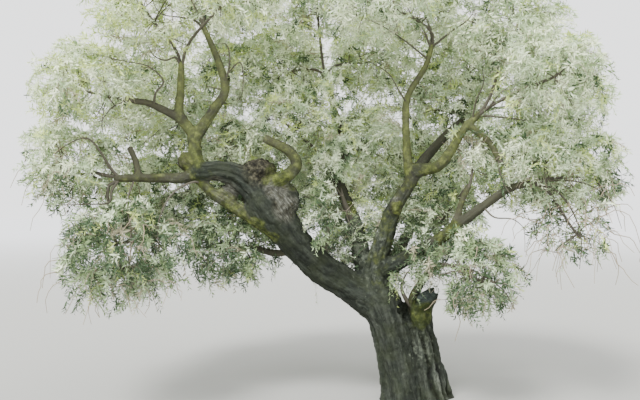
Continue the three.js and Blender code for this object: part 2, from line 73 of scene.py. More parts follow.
STEMS = [
    dict(name="main_stem", girth=(470, 500), depth=1.12, head=-0.22, flare=0.42, ribs=5,
         rib_height=0.07, twist=1.1, join=30, moss=0.22, flutes=0.35, route=[(-130, 0, -120),
         (-190, 0, 280), (-265, 0, 640), (-345, 0, 940), (-450, 0, 1210), (-520, 10, 1400)]),
    dict(name="right_stem", girth=(350, 290), depth=1.2, head=0.18, flare=0.4, ribs=4, rib_height=0.11,
         twist=0.8, join=170, moss=0.12, flutes=1, route=[(262, 50, -120), (192, 50, 320),
         (122, 40, 630), (62, 15, 910), (48, -10, 1110), (102, -15, 1275)]),
]
LIMBS = [
    dict(name="left_limb", start="main_stem", at=0.82, girth=(400, 345), collar=0.25, knob=0.42,
         join=45, moss=0.12, flutes=0.25, route=[(-760, -20, 1320), (-1120, -80, 1560),
         (-1440, -150, 1880), (-1670, -200, 2160), (-1790, -230, 2320)],
         burls=[((-1570, -240, 2370), (185, 110, 215))]),
    dict(name="upper_arm", start="left_limb", at=0.96, girth=(380, 200), collar=0.1, join=60, moss=0.25,
         flutes=0.4, route=[(-1870, -250, 2450), (-2020, -270, 2600), (-2200, -285, 2690),
         (-2400, -300, 2710), (-2560, -310, 2690)], burls=[((-1870, -230, 2720), (205, 190, 135))]),
    dict(name="lower_arm", start="left_limb", at=0.82, girth=(170, 115), collar=0.2, join=40, moss=0.8,
         route=[(-1800, -280, 2090), (-1990, -300, 2200), (-2200, -305, 2330), (-2400, -310, 2470),
         (-2530, -310, 2590)], burls=[((-2240, -290, 2440), (150, 65, 100))]),
    dict(name="hook", start="upper_arm", at=0.33, girth=(190, 95), collar=0.3, join=50, moss=0.72,
         end="sawn", route=[(-1560, -300, 2640), (-1420, -330, 2780), (-1500, -330, 2930),
         (-1800, -300, 3090)]),
    dict(name="left_arm", start="upper_arm", at=0.95, girth=(140, 85), collar=0.3, join=50, moss=0.6,
         route=[(-2720, -340, 2630), (-2950, -370, 2630), (-3440, -480, 2620)]),
    dict(name="left_stub", start="left_arm", at=0.75, girth=(80, 66), collar=0.2, join=25, moss=0.5,
         end="sawn", route=[(-3260, -400, 2830), (-3330, -390, 2980)]),
    dict(name="left_fork", start="upper_arm", at=1, girth=(175, 70), collar=0.2, join=35, moss=0.85,
         route=[(-2595, -310, 2900), (-2615, -300, 3120), (-2770, -330, 3360), (-2750, -370, 3600),
         (-2730, -420, 3920)], burls=[((-2715, -310, 2825), (85, 80, 105))]),
    dict(name="left_leader", start="left_fork", at=0.3, girth=(140, 62), collar=0.1, join=35, moss=0.7,
         route=[(-2380, -250, 3440), (-2265, -200, 3640), (-2310, -160, 3900), (-2540, -60, 4440)]),
    dict(name="left_twist", start="left_fork", at=0.52, girth=(105, 68), collar=0.2, join=25, moss=0.35,
         route=[(-2970, -360, 3420), (-3100, -400, 3480), (-3260, -450, 3500)]),
    dict(name="middle_bough", start="main_stem", at=0.94, girth=(290, 96), collar=0.1, join=50,
         moss=0.4, flutes=0.2, route=[(-640, 150, 1670), (-715, 240, 2060), (-860, 340, 2450),
         (-1010, 400, 2800)]),
    dict(name="centre_leader", start="middle_bough", at=0.86, girth=(110, 76), collar=0.15, join=25,
         moss=0.3, route=[(-830, 480, 3000), (-960, 520, 3500), (-1060, 480, 3880)]),
    dict(name="right_bough", start="main_stem", at=0.92, girth=(300, 125), collar=0.05, join=50,
         moss=0.6, flutes=0.25, route=[(-455, -30, 1680), (-375, -50, 1970), (-295, -90, 2230),
         (-100, -160, 2560), (0, -200, 2740)], burls=[((-262, -180, 2290), (85, 60, 95))]),
    dict(name="right_leader", start="right_bough", at=0.89, girth=(108, 60), collar=0.3, join=25,
         moss=0.8, route=[(-120, -170, 2850), (-140, -130, 3300), (-110, -100, 3600), (110, -40, 3980),
         (190, 0, 4220)]),
    dict(name="right_arm", start="right_bough", at=0.98, girth=(145, 78), collar=0.1, join=30, moss=0.8,
         route=[(220, -240, 2770), (330, -260, 2890), (530, -250, 3210), (700, -230, 3370)]),
    dict(name="right_droop", start="right_arm", at=0.83, girth=(84, 66), collar=0.2, join=20, moss=0.7,
         route=[(720, -290, 3120), (830, -320, 3000), (900, -350, 2840)]),
    dict(name="back_arm", start="right_bough", at=0.97, girth=(130, 92), collar=0.2, join=30, moss=0.3,
         route=[(130, 10, 2900), (440, 320, 3200), (750, 620, 3460)]),
    dict(name="right_low", start="right_bough", at=0.14, girth=(200, 70), collar=0.2, join=50, moss=0.4,
         route=[(-40, -140, 1740), (320, -240, 1980), (690, -300, 2270), (1030, -350, 2510),
         (1280, -390, 2570)]),
    dict(name="right_low_shoot", start="right_low", at=0.47, girth=(84, 66), collar=0.3, join=20,
         moss=0.6, route=[(455, -240, 2210), (520, -250, 2420), (570, -260, 2520)]),
    dict(name="low_bough", start="right_stem", at=0.74, girth=(120, 76), collar=0.2, join=25, moss=0.7,
         route=[(-60, -80, 1180), (10, -150, 1360), (110, -240, 1520), (230, -320, 1620)]),
    dict(name="inner_shoot", start="left_limb", at=0.47, girth=(92, 66), collar=0.3, join=25, moss=0.3,
         route=[(-1080, -110, 1850), (-1060, -130, 1990)]),
    dict(name="under_shoot", start="left_limb", at=0.63, girth=(100, 72), collar=0.3, join=25, moss=0.3,
         route=[(-1700, 120, 1730), (-1950, 200, 1790)]),
    dict(name="back_left_bough", start="left_limb", at=0.58, girth=(200, 84), collar=0.2, join=50,
         moss=0.4, route=[(-1650, 420, 2000), (-2120, 860, 2360), (-2420, 1060, 2560)]),
    dict(name="back_bough", start="main_stem", at=0.96, girth=(220, 86), collar=0.2, join=50, moss=0.4,
         route=[(-680, 640, 1780), (-1020, 1150, 2230), (-1120, 1330, 2420)]),
    dict(name="back_right_bough", start="main_stem", at=0.94, girth=(200, 84), collar=0.2, join=50,
         moss=0.4, route=[(-170, 560, 1700), (160, 980, 2150), (330, 1180, 2420)]),
]


def unit(vectors):
    """Vectors made one long."""
    return vectors / np.linalg.norm(vectors, axis=-1, keepdims=True)


def mix(a, b, share):
    return a + (b - a) * share


def swell(distance, width):
    return np.exp(-((distance / width) ** 2))


def curve_through(points):
    """A centripetal Catmull-Rom curve through points, from 0 to 1."""
    points = np.array(points, float)
    knots = np.array([2 * points[0] - points[1], *points, 2 * points[-1] - points[-2]])

    def place(t):
        spot = np.asarray(t, float) * (len(points) - 1)
        i = np.clip(spot.astype(int), 0, len(points) - 2)
        w = (spot - i)[:, None]
        a, b, c, d = (knots[i + k] for k in range(4))
        ab, bc, cd = (np.linalg.norm(q - p, axis=1)[:, None] ** 0.5 for p, q in ((a, b), (b, c), (c, d)))
        leaving = ((b - a) / ab - (c - a) / (ab + bc) + (c - b) / bc) * bc
        coming = ((c - b) / bc - (d - b) / (bc + cd) + (d - c) / cd) * bc
        bend = 3 * (c - b) - 2 * leaving - coming
        return b + leaving * w + bend * w**2 + (2 * (b - c) + leaving + coming) * w**3

    return place


def line_along(curve, spacing):
    """Rings evenly spaced along a curve: their places, the way on and two directions across."""
    fine = np.linspace(0, 1, CURVE_STEPS + 1)
    run = np.concatenate([[0], np.cumsum(np.linalg.norm(np.diff(curve(fine), axis=0), axis=1))])
    share = np.linspace(0, 1, max(4, math.ceil(run[-1] / spacing)) + 1)
    at = np.interp(share * run[-1], run, fine)
    way = unit(curve(np.minimum(at + NUDGE, 1)) - curve(np.maximum(at - NUDGE, 0)))
    axis = np.eye(3)[np.argmin(np.abs(way[0]))]
    side = [np.cross(way[0], unit(np.cross(way[0], axis)))]
    for before, after in zip(way, way[1:]):
        hinge = np.cross(before, after)
        turn = np.linalg.norm(hinge)
        hinge = hinge / max(turn, 1e-9)
        last = side[-1]
        side.append(last * math.sqrt(1 - turn**2) + np.cross(hinge, last) * turn
                    + hinge * (hinge @ last) * (1 - math.sqrt(1 - turn**2)))
    side = np.array(side)
    return SimpleNamespace(place=curve(at), way=way, side=side, over=np.cross(way, side),
                           share=share, length=run[-1])


def point_at(line, share):
    """The place and the way on at a share of a line's length."""
    place = [np.interp(share, line.share, line.place[:, axis]) for axis in range(3)]
    way = [np.interp(share, line.share, line.way[:, axis]) for axis in range(3)]
    return np.array(place), unit(np.array(way))


def stem_radius(stem, length, share, angle):
    flare = stem["flare"] * np.exp(-share * length / (FLARE_HEIGHT * MM))
    head = 1 + stem["head"] * swell(1 - share, HEAD_LENGTH)
    turn = stem["ribs"] * angle + stem["twist"] * share * np.pi
    ribs = (stem["rib_height"] + 0.25 * flare) * np.cos(turn)
    lobes = (stem["depth"] - 1) * np.cos(2 * angle)
    return mix(*stem["girth"], share) * MM / 2 * (1 + flare) * head * (1 + ribs + lobes)


def limb_radius(limb, share, angle=0.0):
    collar = 1 + limb["collar"] * swell(share, COLLAR_LENGTH)
    knob = 1 + limb.get("knob", 0) * swell(1 - share, KNOB_LENGTH)
    bumps = UNEVENNESS * np.sin(3 * angle + 11 * share) * np.sin(np.pi * share)
    return mix(*limb["girth"], share) * MM / 2 * collar * knob * (1 + bumps)


# Each length of wood, in the order it grows. run: the way that sap goes from the ground to its
# foot, so that the grain goes on from one to the next.
wood = {}
for stem in STEMS:
    line = line_along(curve_through(np.array(stem["route"]) * MM), STEM_RINGS)
    wood[stem["name"]] = SimpleNamespace(
        line=line, radius=partial(stem_radius, stem, line.length), run=0, facts=stem)
for limb in LIMBS:
    parent = wood[limb["start"]]
    foot, _ = point_at(parent.line, limb["at"])
    line = line_along(curve_through([foot, *np.array(limb["route"]) * MM]), LIMB_RINGS)
    run = parent.run + limb["at"] * parent.line.length
    wood[limb["name"]] = SimpleNamespace(
        line=line, radius=partial(limb_radius, limb), run=run, facts=limb)

# The skin of the wood
# Trunk and limbs are one living body: bark flows from one into the next over a collar, and
# stays open in a cleft where the two stems meet. So the skin is taken once over all the wood,
# from the distance to the nearest length of it, and then parted again for the pieces.
STEP = 0.01
MARGIN = 0.1
FAR = 1.0
GRID_ROOM = 0.28
BURL_EDGE, HOLLOW_EDGE = 0.03, 0.02  # how far their edges are rounded
CLEFT_RINGS = 0.05
CLEFT_TAPER = 0.4
CUT_BAND = 0.2  # the height up to which the ground can cut the wood

ROT_HOLES = [((-196, 1096), (52, 120, 62)), ((-150, 1010), (30, 90, 60))]
CLEFT = dict(route=[(-150, 1040), (-75, 880), (-45, 700), (-15, 540), (25, 320), (60, -20)], width=38)
STUMP_CUT = dict(limb="right_stem", place=(95, 0, 1215), way=(-0.42, -0.22, 0.87))


def reading(line, i, x, y, z):
    """Where places lie by rings i and i + 1 of a line: whether they are between the two, the
    share along it, how far they are across and over from its middle, and past its ends."""
    def towards(way):
        return sum((at - start) * step for at, start, step in zip((x, y, z), line.place[i], way))

    span = line.place[i + 1] - line.place[i]
    behind = towards(line.way[i])
    ahead = span @ line.way[i + 1] - towards(line.way[i + 1])
    t = np.clip(behind / np.maximum(behind + ahead, 1e-6), 0, 1)

    def away(axis):
        turn = axis[i + 1] - axis[i]
        return towards(axis[i]) + t * (towards(turn) - span @ axis[i]) - t**2 * (span @ turn)

    first, last = i == 0, i == len(line.share) - 2
    between = ((behind >= 0) | first) & ((ahead >= 0) | last) & (behind + ahead > 0)
    past = -behind if first else -ahead if last else -FAR
    return between, line.share[i] + t * line.share[1], away(line.side), away(line.over), past


def distance_out(piece, share, across, over, past):
    """How far places are outside a length of wood, less than 0 inside it."""
    out = np.hypot(across, over)
    radius = piece.radius(share, np.arctan2(over, across))
    if piece.facts.get("end") == "sawn":
        return np.maximum(out - radius, past)
    return np.hypot(out, np.maximum(past, 0)) - radius


def ball_distance(middle, half, x, y, z):
    """How far places are outside a ball of three half sizes."""
    stretched = [(at - centre) / size for at, centre, size in zip((x, y, z), middle, half)]
    return (np.sqrt(sum(part**2 for part in stretched)) - 1) * min(half)


def smooth_least(a, b, width):
    """The lesser of two distances, rounded where they are nearly the same."""
    overlap = np.maximum(width - np.abs(a - b), 0)
    return np.minimum(a, b) - overlap**2 / (4 * width)


def box_of(piece, i):
    """The corners of the box round rings i and i + 1 of a length of wood."""
    angles = np.linspace(0, 2 * np.pi, 24)
    reach = MARGIN + max(piece.radius(piece.line.share[k], angles).max() for k in (i, i + 1))
    ring = piece.line.place[i:i + 2]
    return ring.min(axis=0) - reach, ring.max(axis=0) + reach


ends = np.concatenate([piece.line.place for piece in wood.values()])
grid_low = ends.min(axis=0) - GRID_ROOM
grid_low[2] = -2.5 * STEP
cells = np.ceil((ends.max(axis=0) + GRID_ROOM - grid_low) / STEP).astype(int)
field = np.full(cells, FAR, np.float32)


def window(low, high):
    """The part of the grid between two corners, and the x, y and z of its places."""
    first = np.clip(np.floor((low - grid_low) / STEP).astype(int), 0, cells)
    after = np.clip(np.ceil((high - grid_low) / STEP).astype(int) + 1, 0, cells)
    places = [grid_low[axis] + STEP * np.arange(first[axis], after[axis]) for axis in range(3)]
    grid = np.meshgrid(*[p.astype(np.float32) for p in places], indexing="ij", sparse=True)
    return tuple(slice(a, b) for a, b in zip(first, after)), grid


for piece in wood.values():
    boxes = [box_of(piece, i) for i in range(len(piece.line.share) - 1)]
    burls = [(np.array(middle) * MM, np.array(half) * MM) for middle, half in piece.facts.get("burls", [])]
    low = np.min([box[0] for box in boxes] + [middle - half - MARGIN for middle, half in burls], axis=0)
    high = np.max([box[1] for box in boxes] + [middle + half + MARGIN for middle, half in burls], axis=0)
    whole, grid = window(low, high)
    start = [part.start for part in whole]
    own = np.full([part.stop - part.start for part in whole], FAR, np.float32)
    for i, box in enumerate(boxes):
        part, (x, y, z) = window(*box)
        between, share, across, over, past = reading(piece.line, i, x, y, z)
        distance = np.where(between, distance_out(piece, share, across, over, past), FAR)
        inner = tuple(slice(p.start - s, p.stop - s) for p, s in zip(part, start))
        own[inner] = np.minimum(own[inner], distance)
    for middle, half in burls:
        own = smooth_least(own, ball_distance(middle, half, *grid), BURL_EDGE)
    if piece.facts["name"] == STUMP_CUT["limb"]:
        away = unit(np.array(STUMP_CUT["way"]))
        above = sum((at - centre * MM) * step for at, centre, step in zip(grid, STUMP_CUT["place"], away))
        own = np.maximum(own, above)
    field[whole] = smooth_least(field[whole], own, piece.facts["join"] * MM)


def on_front(x, z):
    """The place on the front of the wood at this x and z."""
    column = field[round((x - grid_low[0]) / STEP), :, max(round((z - grid_low[2]) / STEP), 3)]
    return np.array([x, grid_low[1] + STEP * np.argmax(column < 0), z])


# The rot holes and the cleft between the stems are hollowed out, and the ground cuts all off.
for (x, z), half in ROT_HOLES:
    middle, half = on_front(x * MM, z * MM), np.array(half) * MM
    part, grid = window(middle - half - MARGIN, middle + half + MARGIN)
    field[part] = -smooth_least(-field[part], ball_distance(middle, half, *grid), HOLLOW_EDGE)
cleft = line_along(curve_through([on_front(x * MM, z * MM) for x, z in CLEFT["route"]]), CLEFT_RINGS)
for i in range(len(cleft.share) - 1):
    reach = CLEFT["width"] * MM + MARGIN
    ring = cleft.place[i:i + 2]
    part, grid = window(ring.min(axis=0) - reach, ring.max(axis=0) + reach)
    between, share, across, over, past = reading(cleft, i, *grid)
    out = np.hypot(np.hypot(across, over), np.maximum(past, 0))
    depth = out - CLEFT["width"] * MM * (1 - CLEFT_TAPER * share)
    field[part] = -smooth_least(-field[part], np.where(between, depth, FAR), HOLLOW_EDGE)
part, grid = window(grid_low, np.array([*(grid_low + STEP * cells)[:2], CUT_BAND]))
field[part] = np.maximum(field[part], -grid[2])


def skin(field):
    """The surface where the field passes zero: one corner for each cell of the grid that it
    crosses, and one face for each edge of the grid that it crosses, turned outwards."""
    strides = np.array([field.shape[1] * field.shape[2], field.shape[2], 1])
    flat = field.ravel()
    cell = np.flatnonzero(np.abs(flat) < 4 * STEP)
    corners = np.array([[k & 1, k >> 1 & 1, k >> 2 & 1] for k in range(8)])
    value = flat[cell[:, None] + corners @ strides]
    crossed = (value < 0).any(axis=1) & (value >= 0).any(axis=1)
    cell, value = cell[crossed], value[crossed]
    total = np.zeros((len(cell), 3))
    count = np.zeros(len(cell))
    for axis in range(3):
        for a in (k for k in range(8) if not k >> axis & 1):
            b = a | 1 << axis
            cuts = (value[:, a] < 0) != (value[:, b] < 0)
            rise = np.where(cuts, value[:, b] - value[:, a], 1)
            on_edge = corners[a] - (value[:, a] / rise)[:, None] * np.eye(3)[axis]
            total += np.where(cuts[:, None], on_edge, 0)
            count += cuts
    place = np.stack(np.unravel_index(cell, field.shape), axis=1) + total / count[:, None]
    faces = []
    for axis in range(3):
        inside, beyond = value[:, 0] < 0, value[:, 1 << axis] < 0
        u, v = strides[(axis + 1) % 3], strides[(axis + 2) % 3]
        for outward, order in ((True, (0, -u, -u - v, -v)), (False, (0, -v, -u - v, -u))):
            crossing = cell[(inside != beyond) & (inside == outward)]
            faces.append(np.stack([np.searchsorted(cell, crossing + step) for step in order], axis=1))
    return grid_low + STEP * place, np.concatenate(faces)


corners, faces = skin(field)
del field

# Which length of wood each corner of the skin is on, and which is next nearest, so that the
# grain of the two can fade into each other at a fork.
FORK_FADE = 0.08
count = len(corners)
distances = np.full((2, count), FAR)
owners = np.zeros((2, count), int)
grains = np.zeros((2, count, 3))
stoutness = np.zeros(count)
for number, piece in enumerate(wood.values()):
    own = np.full(count, FAR)
    grain = np.zeros((count, 3))
    radius = np.zeros(count)
    for i in range(len(piece.line.share) - 1):
        low, high = box_of(piece, i)
        near = np.flatnonzero(((corners > low) & (corners < high)).all(axis=1))
        between, share, across, over, past = reading(piece.line, i, *corners[near].T)
        distance = distance_out(piece, share, across, over, past)
        better = between & (distance < own[near])
        near = near[better]
        own[near] = distance[better]
        run = piece.run + share[better] * piece.line.length
        grain[near] = np.stack([across[better], over[better], run], axis=1)
        radius[near] = piece.radius(share[better], 0.0)
    first = own < distances[0]
    second = ~first & (own < distances[1])
    for kept, new in ((distances, own), (grains, grain), (owners, np.full(count, number))):
        kept[1, first] = kept[0, first]
        kept[0, first], kept[1, second] = new[first], new[second]
    stoutness[first] = radius[first]
wood_names = list(wood)
beside = np.clip(0.5 - (distances[1] - distances[0]) / FORK_FADE, 0, 0.5)


def by_limb(fact, usual=0.0):
    """What the limbs' table says of each corner's length of wood, faded into the one beside it."""
    known = np.array([piece.facts.get(fact, usual) for piece in wood.values()])
    return mix(known[owners[0]], known[owners[1]], beside)


# Where moss and lichen grow, and where the wood is dead and bare, rough or sawn: the middle,
# radius and strength of each patch. One moss patch is painted shade, and one lichen patch
# is painted light.
PATCHES = {
    "moss": [
        ((30, -200, 1030), 250, 0.95), ((-1880, -330, 2080), 190, 0.9), ((-1700, -300, 1960), 150, 0.8),
        ((-2450, -300, 2600), 260, 0.5), ((-1600, -380, 2620), 150, 1), ((330, -260, 2000), 260, 0.9),
        # The last of these is painted shade: moss green put on the fork of the trunk, where the crown's
        # shadow falls.
        ((-800, 200, 2270), 150, 1), ((-235, -240, 2280), 140, 0.8), ((-510, -250, 1450), 300, 0.5),
    ],
    "lichen": [
        # The first of these is painted light: it pales the middle bough, which the crown shades.
        ((-710, 100, 1950), 460, 1), ((-480, -150, 1640), 220, 0.2), ((100, -200, 640), 240, 0.6),
    ],
    "dead": [
        ((-1640, -380, 2500), 180, 1), ((-1530, -380, 2300), 210, 1), ((-2120, -360, 2350), 120, 0.9),
        ((-2240, -360, 2440), 170, 1), ((-2350, -360, 2560), 120, 0.9), ((-290, -220, 2420), 90, 0.8),
        ((-1800, -310, 3080), 80, 1),
    ],
    "rough": [
        ((-1850, -240, 2720), 290, 1), ((-2715, -310, 2825), 170, 0.9), ((-262, -240, 2290), 130, 0.7),
    ],
    "sawn": [
        ((75, -20, 1240), 210, 1),
    ],
}
FADE = 0.4  # of a patch's radius, over which it fades out
FLUTED_BELOW = (0.98, 0.7)  # the flutes of the trunk set in between these heights
cover = {}
for kind, patches in PATCHES.items():
    cover[kind] = by_limb("moss") if kind == "moss" else np.zeros(count)
    for middle, radius, strength in patches:
        away = np.linalg.norm(corners - np.array(middle) * MM, axis=1) / (radius * MM)
        cover[kind] = np.maximum(cover[kind], strength * np.clip((1 - away) / FADE, 0, 1))
low_down = np.clip((FLUTED_BELOW[0] - corners[:, 2]) / (FLUTED_BELOW[0] - FLUTED_BELOW[1]), 0, 1)
on_right_stem = owners[0] == wood_names.index("right_stem")
flutes = np.where(on_right_stem, low_down, by_limb("flutes", 0.15))
to_cut = (corners - np.array(STUMP_CUT["place"]) * MM) @ unit(np.array(STUMP_CUT["way"]))
cover["sawn"] *= on_right_stem & (np.abs(to_cut) < 1.5 * STEP)


# Bark
# Old bark, grey-green and furrowed along the grain, on the trunk in long flutes. It stands in
# relief on the skin, and moss, lichen, dead wood and saw cuts give it its colours, with
# painted shade in its furrows and flutes, painted shade and light on the moss by height, and
# a patch each of painted shade and painted light.
GRAIN_STRETCH = 0.16  # along the grain, against across it
THICK_WOOD = 0.16  # the radius from which the relief is full


def add(tree, kind, inputs=(), **settings):
    """Adds a node. Its inputs are given in order, or by their identifiers: a socket is wired
    in, a value is set, and None leaves an input as it is."""
    made = tree.nodes.new(kind)
    for name, value in settings.items():
        setattr(made, name, value)
    named = inputs if isinstance(inputs, dict) else dict(zip([s.identifier for s in made.inputs], inputs))
    for socket in made.inputs:
        value = named.get(socket.identifier)
        if isinstance(value, bpy.types.NodeSocket):
            tree.links.new(value, socket)
        elif value is not None:
            socket.default_value = value
    return made


def math_node(tree, operation, *inputs, **settings):
    return add(tree, "ShaderNodeMath", inputs, operation=operation, **settings).outputs[0]


def scaled(tree, vector, x, y, z):
    """A vector with its three parts multiplied."""
    return add(tree, "ShaderNodeVectorMath", [vector, (x, y, z)], operation="MULTIPLY").outputs[0]


def new_tree(name, sizes):
    """A geometry tree with these inputs after its geometry, and the nodes at its two ends."""
    tree = bpy.data.node_groups.new(name, "GeometryNodeTree")
    tree.interface.new_socket("Geometry", in_out="INPUT", socket_type="NodeSocketGeometry")
    tree.interface.new_socket("Geometry", in_out="OUTPUT", socket_type="NodeSocketGeometry")
    for label, kind in sizes.items():
        tree.interface.new_socket(label, in_out="INPUT", socket_type=kind)
    return tree, add(tree, "NodeGroupInput"), add(tree, "NodeGroupOutput")


def shaped_by(tree, source, **values):
    """Runs a tree on an object and gives back the mesh that it makes. The object is dropped."""
    modifier = source.modifiers.new(tree.name, "NODES")
    modifier.node_group = tree
    for item in tree.interface.items_tree:
        key = item.name.lower().replace(" ", "_")
        if item.in_out == "INPUT" and key in values:
            modifier[item.identifier] = values[key]
    bpy.context.view_layer.update()
    evaluated = source.evaluated_get(bpy.context.evaluated_depsgraph_get())
    mesh = bpy.data.meshes.new_from_object(evaluated)
    source.modifiers.clear()
    bpy.data.objects.remove(source)
    return mesh


def add_object(name, mesh):
    made = bpy.data.objects.new(name, mesh)
    bpy.context.scene.collection.objects.link(made)
    return made


def set_values(mesh, name, values):
    """Gives every corner of a mesh a number or a vector of its own."""
    kind = "FLOAT_VECTOR" if values.ndim == 2 else "FLOAT"
    attribute = mesh.attributes.new(name, kind, "POINT")
    key = "vector" if values.ndim == 2 else "value"
    attribute.data.foreach_set(key, values.astype(np.float32).ravel())


def relief_tree():
    """Pushes the skin in and out along its normals: in flutes that run up the wood, in fine
    furrows along the grain, and in lumps."""
    sizes = ["Furrow width", "Furrow depth", "Flutes", "Flute depth", "Lump width", "Lump height"]
    tree, given, result = new_tree("bark relief", {size: "NodeSocketFloat" for size in sizes})
    furrow_width, furrow_depth, flute_count, flute_depth, lump_width, lump_height = (
        given.outputs[size] for size in sizes)
    maths = partial(math_node, tree)
    place = add(tree, "GeometryNodeInputPosition").outputs[0]

    def attribute(name, kind="FLOAT"):
        return add(tree, "GeometryNodeInputNamedAttribute", [name], data_type=kind).outputs[0]

    def noise(vector, scale, detail, distortion=0.0):
        wires = {"Vector": vector, "Scale": scale, "Detail": detail, "Roughness": 0.55,
                 "Distortion": distortion}
        return add(tree, "ShaderNodeTexNoise", wires).outputs["Fac"]

    def centred(value, size):
        return maths("MULTIPLY", maths("SUBTRACT", value, 0.5), size)

    def both(shape):
        """A shape by the grain of the wood itself, faded into that of the wood beside it."""
        own, other = (shape(attribute(name, "FLOAT_VECTOR")) for name in ("grain", "grain_beside"))
        share = attribute("beside")
        kept = maths("MULTIPLY", own, maths("SUBTRACT", 1.0, share))
        return maths("ADD", kept, maths("MULTIPLY", other, share))

    def fluting(vector):
        """1 along the bottom of each of the valleys that stand evenly round the wood."""
        part = add(tree, "ShaderNodeSeparateXYZ", [vector]).outputs
        wander = centred(noise(scaled(tree, place, 1, 1, 0.5), 4.0, 2.0), 1.3)
        drift = maths("ADD", wander, maths("MULTIPLY", part[2], 0.35))
        angle = maths("ADD", maths("ARCTAN2", part[1], part[0]), drift)
        turns = maths("MULTIPLY", angle, maths("MULTIPLY", flute_count, 0.5))
        ridge = maths("ABSOLUTE", maths("SINE", turns))
        return maths("POWER", maths("SUBTRACT", 1.0, ridge), 1.4)

    def furrowing(vector):
        """1 along thin wavering lines that run with the grain, 0 between them."""
        along = scaled(tree, vector, 1, 1, GRAIN_STRETCH)
        value = noise(along, maths("DIVIDE", 1.0, furrow_width), 3.0, 0.4)
        off_middle = maths("ABSOLUTE", maths("SUBTRACT", value, 0.5))
        return maths("SUBTRACT", 1.0, maths("MULTIPLY", off_middle, 9.0), use_clamp=True)

    flute = maths("MULTIPLY", both(fluting), attribute("flutes"))
    furrow = both(furrowing)
    lump = noise(place, maths("DIVIDE", 1.0, lump_width), 2.0)
    height = maths("MULTIPLY", centred(lump, lump_height), attribute("lumps"))
    for hollow, depth in ((flute, flute_depth), (furrow, furrow_depth)):
        height = maths("SUBTRACT", height, maths("MULTIPLY", hollow, depth))
    height = maths("MULTIPLY", height, attribute("relief"))
    out = {"Vector": add(tree, "GeometryNodeInputNormal").outputs[0], "Scale": height}
    offset = add(tree, "ShaderNodeVectorMath", out, operation="SCALE").outputs[0]
    shaped = given.outputs["Geometry"]
    for name, value in (("furrow", furrow), ("flute", flute)):
        stored = {"Geometry": shaped, "Name": name, "Value": value}
        shaped = add(tree, "GeometryNodeStoreNamedAttribute", stored).outputs[0]
    moved = add(tree, "GeometryNodeSetPosition", {"Geometry": shaped, "Offset": offset}).outputs[0]
    tree.links.new(moved, result.inputs[0])
    return tree


bare = bpy.data.meshes.new("bare wood")
bare.from_pydata(corners, [], faces)
bare.shade_smooth()
stout = np.clip(stoutness / THICK_WOOD, 0.2, 1)
off_ground = np.clip((corners[:, 2] - 0.01) / 0.03, 0, 1)
lumps = 1 + 1.8 * cover["rough"] + 1.2 * cover["dead"]
relief = stout * off_ground * (1 - 0.85 * cover["sawn"])
for name, values in (("grain", grains[0]), ("grain_beside", grains[1]), ("beside", beside),
                     ("flutes", flutes), ("lumps", lumps), ("relief", relief)):
    set_values(bare, name, values)
wooden = shaped_by(relief_tree(), add_object("bare wood", bare), furrow_width=0.032, furrow_depth=0.007,
                   flutes=9.0, flute_depth=0.055, lump_width=0.1, lump_height=0.045)
carved = np.zeros(count * 3, np.float32)
wooden.vertices.foreach_get("co", carved)
carved = carved.reshape(-1, 3)
worn = {}
for name in ("furrow", "flute"):
    worn[name] = np.zeros(count, np.float32)
    wooden.attributes[name].data.foreach_get("value", worn[name])


def colour(code):
    """The linear light of a colour that is written as on a screen."""
    parts = [int(code[k:k + 2], 16) / 255 for k in (0, 2, 4)]
    return (*[p / 12.92 if p <= 0.04045 else ((p + 0.055) / 1.055) ** 2.4 for p in parts], 1)


